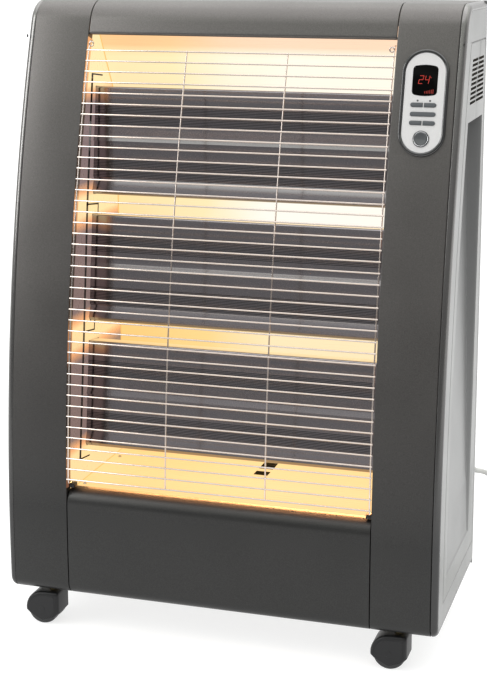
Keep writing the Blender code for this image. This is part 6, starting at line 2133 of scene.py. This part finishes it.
@dataclass
class MainsLead(SubAssembly):
    """The mains lead: its strain relief, the free lead, its coil on the floor and the plug."""

    diameter: float = 0.0085
    gap: float = 0.0003
    exit_x: float = 0.325
    exit_z: float = 0.212
    gland: float = 0.030
    route: tuple[Spot, ...] = (
        (0.3337, 0.2104, 0.1950), (0.3478, 0.2404, 0.1820), (0.3640, 0.2600, 0.1500), (0.3740, 0.2580, 0.1050),
        (0.3800, 0.2420, 0.0560), (0.3900, 0.2210, 0.0180), (0.4100, 0.2095, 0.0050), (0.4300, 0.2085, 0.0046),
    )
    spacing: float = 2.2
    coil_centre: Point = (0.462, 0.150)
    coil_turn: float = 11.0
    coil_step: float = 1.10
    loops: int = 5
    loop_points: int = 24
    swing: float = 3.5
    plug_radius: float = 0.019
    plug_body: float = 0.034
    neck_radius: float = 0.0075
    neck: float = 0.016
    pin_radius: float = 0.0024
    pin_length: float = 0.019
    pin_spacing: float = 0.019
    ribs: int = 6
    rib_start: float = 0.0055
    rib_pitch: float = 0.0040
    rib_radii: Point = (0.0095, 0.0058)
    rib_groove: float = 0.0016
    pin_root: float = 0.001

    def coil(self) -> list[Vector]:
        """Lay the coil: its loops wind in on the floor, then out again on top.

        Returns:
            The coil's points.
        """
        diameter = self.diameter
        step = self.coil_step * diameter
        total = self.loops * self.loop_points
        lift = self.loop_points / 4
        outermost = self.coil_turn * diameter / 2 + step * self.loops / 4
        low = diameter / 2 + self.gap
        points = []
        for i in range(total + 1):
            angle = QUARTER - math.tau * i / self.loop_points
            radius = outermost - step * min(i, total - i) / self.loop_points
            z = low + step * ease((i - total / 2) / (self.loop_points / 2) + 0.5)
            swung = ease((i - total + lift + 1) / lift)
            radius += self.swing * diameter * swung
            z += (self.plug_radius + self.gap - low - step) * swung
            x, y = self.coil_centre
            points.append(Vector((x + radius * math.cos(angle), y + radius * math.sin(angle), z)))
        before = (points[0] - points[1]).normalized() * diameter
        after = (points[-1] - points[-2]).normalized() * diameter
        return [points[0] + before, *points, points[-1] + after]

    def smooth(self, route: Sequence[Vector]) -> list[Vector]:
        """Draw a smooth curve through a route's own points.

        Args:
            route: the points that it goes through.

        Returns:
            Evenly stepped points on the curve.
        """
        spans = [(second - first).length for first, second in zip(route, route[1:])]
        slopes = [(route[1] - route[0]) / spans[0]]
        for i in range(1, len(route) - 1):
            before, after = spans[i - 1], spans[i]
            slope = (route[i] - route[i - 1]) * after / before + (route[i + 1] - route[i]) * before / after
            slopes.append(slope / (before + after))
        slopes.append((route[-1] - route[-2]) / spans[-1])
        points = []
        for i, span in enumerate(spans):
            steps = max(1, round(span / (self.diameter * self.spacing)))
            for step in range(steps):
                t = step / steps
                here = (1 + 2 * t) * (1 - t) ** 2 * route[i] + t * (1 - t) ** 2 * span * slopes[i]
                there = t * t * (3 - 2 * t) * route[i + 1] + t * t * (t - 1) * span * slopes[i + 1]
                points.append(here + there)
        points.append(route[-1])
        return points

    def build(self) -> None:
        """Make the lead and everything on it."""
        exit_y = self.cabinet.rear + self.gap
        tip = Vector((self.exit_x, exit_y + self.gland + self.gap, self.exit_z))
        coil = self.coil()
        back = (coil[0] - coil[1]).normalized()
        meet = coil[0] + back * self.gap
        route = [tip, tip + Vector((0, self.diameter, 0)), *map(Vector, self.route), meet + back * self.diameter, meet]
        points = self.smooth(route) + coil
        curve = bpy.data.curves.new("mains_lead", "CURVE")
        curve.dimensions = "3D"
        curve.bevel_depth = self.diameter / 2
        curve.bevel_resolution = 4
        curve.use_fill_caps = True
        spline = curve.splines.new("POLY")
        spline.points.add(len(points) - 1)
        spline.use_smooth = True
        for spot, point in zip(spline.points, points):
            spot.co = (*point, 1.0)
        lead = stand("mains_lead", curve)
        curve.materials.append(self.finishes["cord_sheath"])
        self.settle(lead, "cabinet", "cord_grey", ["mains_cord", "cord_coil"])
        gland = self.build_gland(exit_y)
        ahead = (coil[-1] - coil[-2]).normalized()
        plug, pins = self.build_plug(coil[-1] + ahead * self.gap, ahead)
        length = sum((second - first).length for first, second in zip(points, points[1:]))
        LOG.info("the lead is %.3f m long over %d points", length, len(points))

    def build_gland(self, exit_y: float) -> Piece:
        """Make the ribbed strain relief.

        Args:
            exit_y: the rear face that it stands on.

        Returns:
            The strain relief.
        """
        wide, slim = self.rib_radii
        profile = [(0.0, 0.0), (0.0130, 0.0), (0.0130, 0.0022), (0.0122, 0.003), (wide, 0.003)]
        for i in range(self.ribs):
            start = self.rib_start + i * self.rib_pitch
            radius = wide - (wide - slim) * i / self.ribs
            groove = radius - self.rib_groove
            profile += [(radius, start), (radius - 0.0002, start + 0.0022)]
            profile += [(groove, start + 0.0026), (groove, start + 0.0038)]
        profile += [(slim, self.gland - 0.0005), (0.0052, self.gland), (0.0, self.gland)]
        bm = turned(profile, (self.exit_x, exit_y, self.exit_z), (0, 1, 0), 32)
        return self.publish("strain_relief", bm, "black_plastic", "black_plastic", ["cord_gland"], angle=0.5)

    def build_plug(self, start: Vector, direction: Vector) -> tuple[Piece, Piece]:
        """Make the round plug, with its grip rings, and its two pins.

        Args:
            start: where the lead ends.
            direction: the way that the lead runs there.

        Returns:
            The plug's body and its pins.
        """
        axis = Vector((direction.x, direction.y, 0)).normalized()
        neck, body, radius = self.neck, self.plug_body, self.plug_radius
        profile = [
            (0.0, 0.0), (self.diameter / 2, 0.0), (0.0062, neck * 0.3), (self.neck_radius, neck),
            (0.012, neck + 0.0025), (radius - 0.002, neck + 0.0062), (radius, neck + self.neck_radius + 0.001),
            (radius, neck + 0.014), (radius - 0.001, neck + 0.015), (radius - 0.001, neck + 0.017),
            (radius, neck + 0.018), (radius, neck + 0.021), (radius - 0.001, neck + 0.022),
            (radius - 0.001, neck + 0.024), (radius, neck + 0.025), (radius, neck + body - 0.0012),
            (radius - 0.0012, neck + body), (0.0, neck + body),
        ]
        bm = turned(profile, start, axis, 40)
        plug = self.publish("plug_body", bm, "black_plastic", "black_plastic", ["mains_plug"])
        pins = bmesh.new()
        across = axis.cross(Vector((0, 0, 1)))
        radius, length = self.pin_radius, self.pin_length
        tip = length + self.pin_root
        pin = [(0, 0), (radius, 0), (radius, length - radius * 0.4), (radius * 0.55, tip), (0, tip)]
        for side in (-1, 1):
            root = start + axis * (neck + body - self.pin_root) + across * side * self.pin_spacing / 2
            merge(pins, turned(pin, root, axis, 20))
        return plug, self.publish("plug_pins", pins, "brass", "brass")


@dataclass
class Fittings(SubAssembly):
    """The filler cap, the rear cover's screws, and the finishes of the nodes that are kept as they are."""

    nodes_of: tuple[tuple[str, str], ...] = (
        ("graphite_paint", "top_plate"), ("rear_paint", "rear_cover"), ("screw_steel", "exhaust_guard"),
        # The rear and upper reflectors take painted light finishes.
        ("back_painted_light", "reflector_back"), ("top_painted_light", "reflector_top"),
        ("duct_steel", "base_pan combustion_chamber left_turn_box right_turn_box outlet_box exhaust_pipe"),
        ("cast_alloy", "burner_housing blower_wheel"), ("black_plastic", "burner_motor ignition_transformer"),
        ("tank_paint", "fuel_tank"), ("brass", "fuel_level_sender fuel_pump fuel_line"),
        ("white_face", "control_face"), ("board_green", "control_board"),
    )
    cap_tilt: float = math.radians(35.0)
    cap_x: float = -0.240
    cap_setback: float = 0.061
    cap_z: float = 0.170
    cap_reach: float = 0.082
    cap_radius: float = 0.027
    cap_length: float = 0.022
    cap_skirt: float = 0.014
    cap_bore: float = 0.0223
    cap_gap: float = 0.0003
    cap_ribs: int = 20
    rib_half: float = 0.0016
    screw_radius: float = 0.0038
    screw_sink: float = 0.0001
    screws: Profile = (
        (-0.325, 0.085), (-0.325, 0.36), (-0.325, 0.66), (-0.325, 0.95), (0.325, 0.085), (0.325, 0.36),
        (0.325, 0.66), (0.325, 0.95), (-0.11, 0.075), (-0.11, 0.962), (0.11, 0.075), (0.11, 0.962),
    )

    def build(self, nodes: dict[str, Piece]) -> None:
        """Dress the kept nodes and add the cap and the screws.

        Args:
            nodes: the CAD nodes, by name.
        """
        for finish, names in self.nodes_of:
            for name in names.split():
                materials = nodes[name].data.materials
                materials.clear()
                materials.append(self.finishes[finish])
        self.build_cap()
        self.build_screws()

    def build_cap(self) -> None:
        """Make the ribbed filler cap."""
        root = Vector((self.cap_x, self.cabinet.rear - self.cap_setback, self.cap_z))
        axis = Vector((0, math.cos(self.cap_tilt), math.sin(self.cap_tilt)))
        origin = root + axis * (self.cap_reach - self.cap_skirt)
        radius, length, inner = self.cap_radius, self.cap_length, self.cap_bore
        under = self.cap_skirt + self.cap_gap
        profile = [
            (0.0, under), (inner, under), (inner, 0.0), (radius - 0.0012, 0.0), (radius - 0.0012, length - 0.003),
            (radius - 0.0022, length - 0.0008), (radius - 0.004, length), (0.011, length), (0.0095, length - 0.0012),
            (0.0, length - 0.0012),
        ]
        bm = turned(profile, origin, axis, 60)
        turn = Vector((0, 0, 1)).rotation_difference(axis).to_matrix().to_4x4()
        for i in range(self.cap_ribs):
            rib = box((radius - 0.0018, -self.rib_half, 0.0006), (radius, self.rib_half, length - 0.0035), 0.0005)
            place = Matrix.Translation(origin) @ turn @ Matrix.Rotation(math.tau * i / self.cap_ribs, 4, "Z")
            bmesh.ops.transform(rib, matrix=place, verts=rib.verts[:])
            merge(bm, rib)
        self.publish("filler_cap", bm, "cap_red", "cap_red", ["fuel_cap"], body="fuel_cap")

    def build_screws(self) -> None:
        """Make the rear cover's screws."""
        bm = bmesh.new()
        for x, z in self.screws:
            merge(bm, screw((x, self.cabinet.rear - self.screw_sink, z), (0, 1, 0), self.screw_radius))
        self.publish("rear_screws", bm, "screw_steel", "rear_paint")


@dataclass(frozen=True)
class SoftLight:
    """A rectangular light: where it stands, what it points at, and how wide its beam opens."""

    name: str
    place: Spot
    target: Spot
    size: Point
    energy: float
    tint: Tint
    spread: float

    def make(self) -> None:
        """Put the light in the scene."""
        data = bpy.data.lights.new(self.name, "AREA")
        data.shape = "RECTANGLE"
        data.size, data.size_y = self.size
        data.energy = self.energy
        data.color = self.tint
        data.spread = math.radians(self.spread)
        light = stand(self.name, data)
        light.location = self.place
        light.visible_camera = False
        light.rotation_euler = (Vector(self.target) - Vector(self.place)).to_track_quat("-Z", "Y").to_euler()


@dataclass(frozen=True)
class Studio:
    """The floor, the light and the camera of the photograph."""

    camera_place: Spot = (0.7168, -2.244505, 1.0573)
    yaw: float = 0.2888
    pitch: float = 0.204
    roll: float = 0.0006
    lens: float = 82.556
    sensor: float = 36.0
    shift: Point = (-0.0513, -0.1079)
    reach: float = 50.0
    floor_half: float = 60.0
    floor_glow: float = 0.74
    floor_fade: Point = (-2.2, -0.9)
    ceiling: float = 2.2
    sky: Profile = (
        (0.0, 0.27), (0.18, 0.27), (0.28, 0.43), (0.44, 0.43), (0.475, 0.6), (0.50, 1.4), (0.54, 1.4), (0.57, 1.0),
        (0.68, 1.0), (0.80, 2.2), (1.0, 2.2),
    )
    backdrop: float = 0.75
    backdrop_reach: Point = (-0.10, 0.35)
    softbox: Point = (0.49, 0.70)
    softbox_tint: Tint = (0.955, 1.0, 0.93)
    lights: tuple[SoftLight, ...] = (
        SoftLight("left", (-2.6, -1.6, 1.9), (0.0, 0.0, 0.6), (1.4, 2.0), 42.0, PLAIN, 180.0),
        SoftLight(
            "embers", (0.0, -0.150, 0.2575), (0.0, -0.1582, 0.2315), (0.46, 0.012), 0.022, (1.0, 0.45, 0.20), 70.0
        ),
        SoftLight("rim", (0.0, -0.115, 0.2555), (0.0, -0.150, 0.2325), (0.46, 0.012), 0.20, (1.0, 0.45, 0.16), 60.0),
    )

    def build(self) -> None:
        """Set the camera, the floor, the world and the lights."""
        self.build_camera()
        self.build_floor()
        self.build_world()
        for light in self.lights:
            light.make()
        settings = bpy.context.scene.view_settings
        settings.view_transform = "Standard"
        settings.look = "None"

    def build_camera(self) -> None:
        """Make the camera at the photograph's angle."""
        data = bpy.data.cameras.new("camera")
        data.lens = self.lens
        data.sensor_width = self.sensor
        data.shift_x, data.shift_y = self.shift
        data.clip_end = self.reach
        camera = stand("camera", data)
        turn = Matrix.Rotation(self.yaw, 4, "Z") @ Matrix.Rotation(QUARTER - self.pitch, 4, "X")
        camera.matrix_world = Matrix.Translation(self.camera_place) @ turn @ Matrix.Rotation(self.roll, 4, "Z")
        bpy.context.scene.camera = camera

    def build_floor(self) -> None:
        """Make the pale floor."""
        bm = bmesh.new()
        bmesh.ops.create_grid(bm, x_segments=1, y_segments=1, size=self.floor_half)
        mesh = bpy.data.meshes.new("floor")
        bm.to_mesh(mesh)
        bm.free()
        floor = stand("floor", mesh)
        board = NodeBoard(bpy.data.materials.new("floor"))
        board.set(Roughness=1.0, Specular_IOR_Level=0.0, Emission_Strength=self.floor_glow)
        along = board.spread(board.axis("Y"), 0.0, 1.0, *self.floor_fade)
        board.drive("Emission Color", board.ramp(along, ((0.0, [0.32] * 3), (1.0, [1.0] * 3))))
        pale = board.ramp(board.noise(0.6, 1.0), ((0.3, [0.34] * 3), (0.7, [0.36] * 3)))
        board.drive("Base Color", board.blend("SCALE", pale, board.spread(along, 0.1, 1.0, 0.0, 1.0)))
        mesh.materials.append(board.owner)

    def build_world(self) -> None:
        """Make the surroundings: dim in front at eye level, white behind the heater, bright overhead."""
        world = bpy.data.worlds.new("studio")
        board = NodeBoard(world, "Generated")
        stops = []
        for position, level in self.sky:
            tint = self.softbox_tint if self.softbox[0] < position < self.softbox[1] else PLAIN
            stops.append((position, [level / self.ceiling * channel for channel in tint]))
        scale = board.add("ShaderNodeVectorMath", operation="SCALE")
        scale.inputs["Scale"].default_value = self.ceiling
        board.link(board.ramp(board.axis("Z"), stops), scale.inputs[0])
        behind = board.spread(board.axis("Y"), 0.0, self.backdrop, *self.backdrop_reach)
        background = board.tree.nodes["Background"]
        background.inputs["Strength"].default_value = 1.0
        board.link(board.blend("ADD", scale.outputs["Vector"], behind), background.inputs["Color"])
        bpy.context.scene.world = world


def main() -> None:
    """Build the heater's looks, part by part."""
    logging.basicConfig(level=logging.INFO, format="%(name)s: %(message)s")
    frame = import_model()
    Studio().build()
    finishes = Finishes()
    MainsLead(finishes).build()
    panels = FrontPanels(finishes)
    pillars = panels.build()
    EdgeTrims(finishes).build()
    SidePanels(finishes).build()
    ControlPanel(finishes).build(pillars[Side.RIGHT])
    panels.light_flanges(pillars)
    WireGuard(finishes).build()
    HeatChamber(finishes).build()
    Casters(finishes).build()
    Fittings(finishes).build(frame["nodes"])


if __name__ == "__main__":
    main()
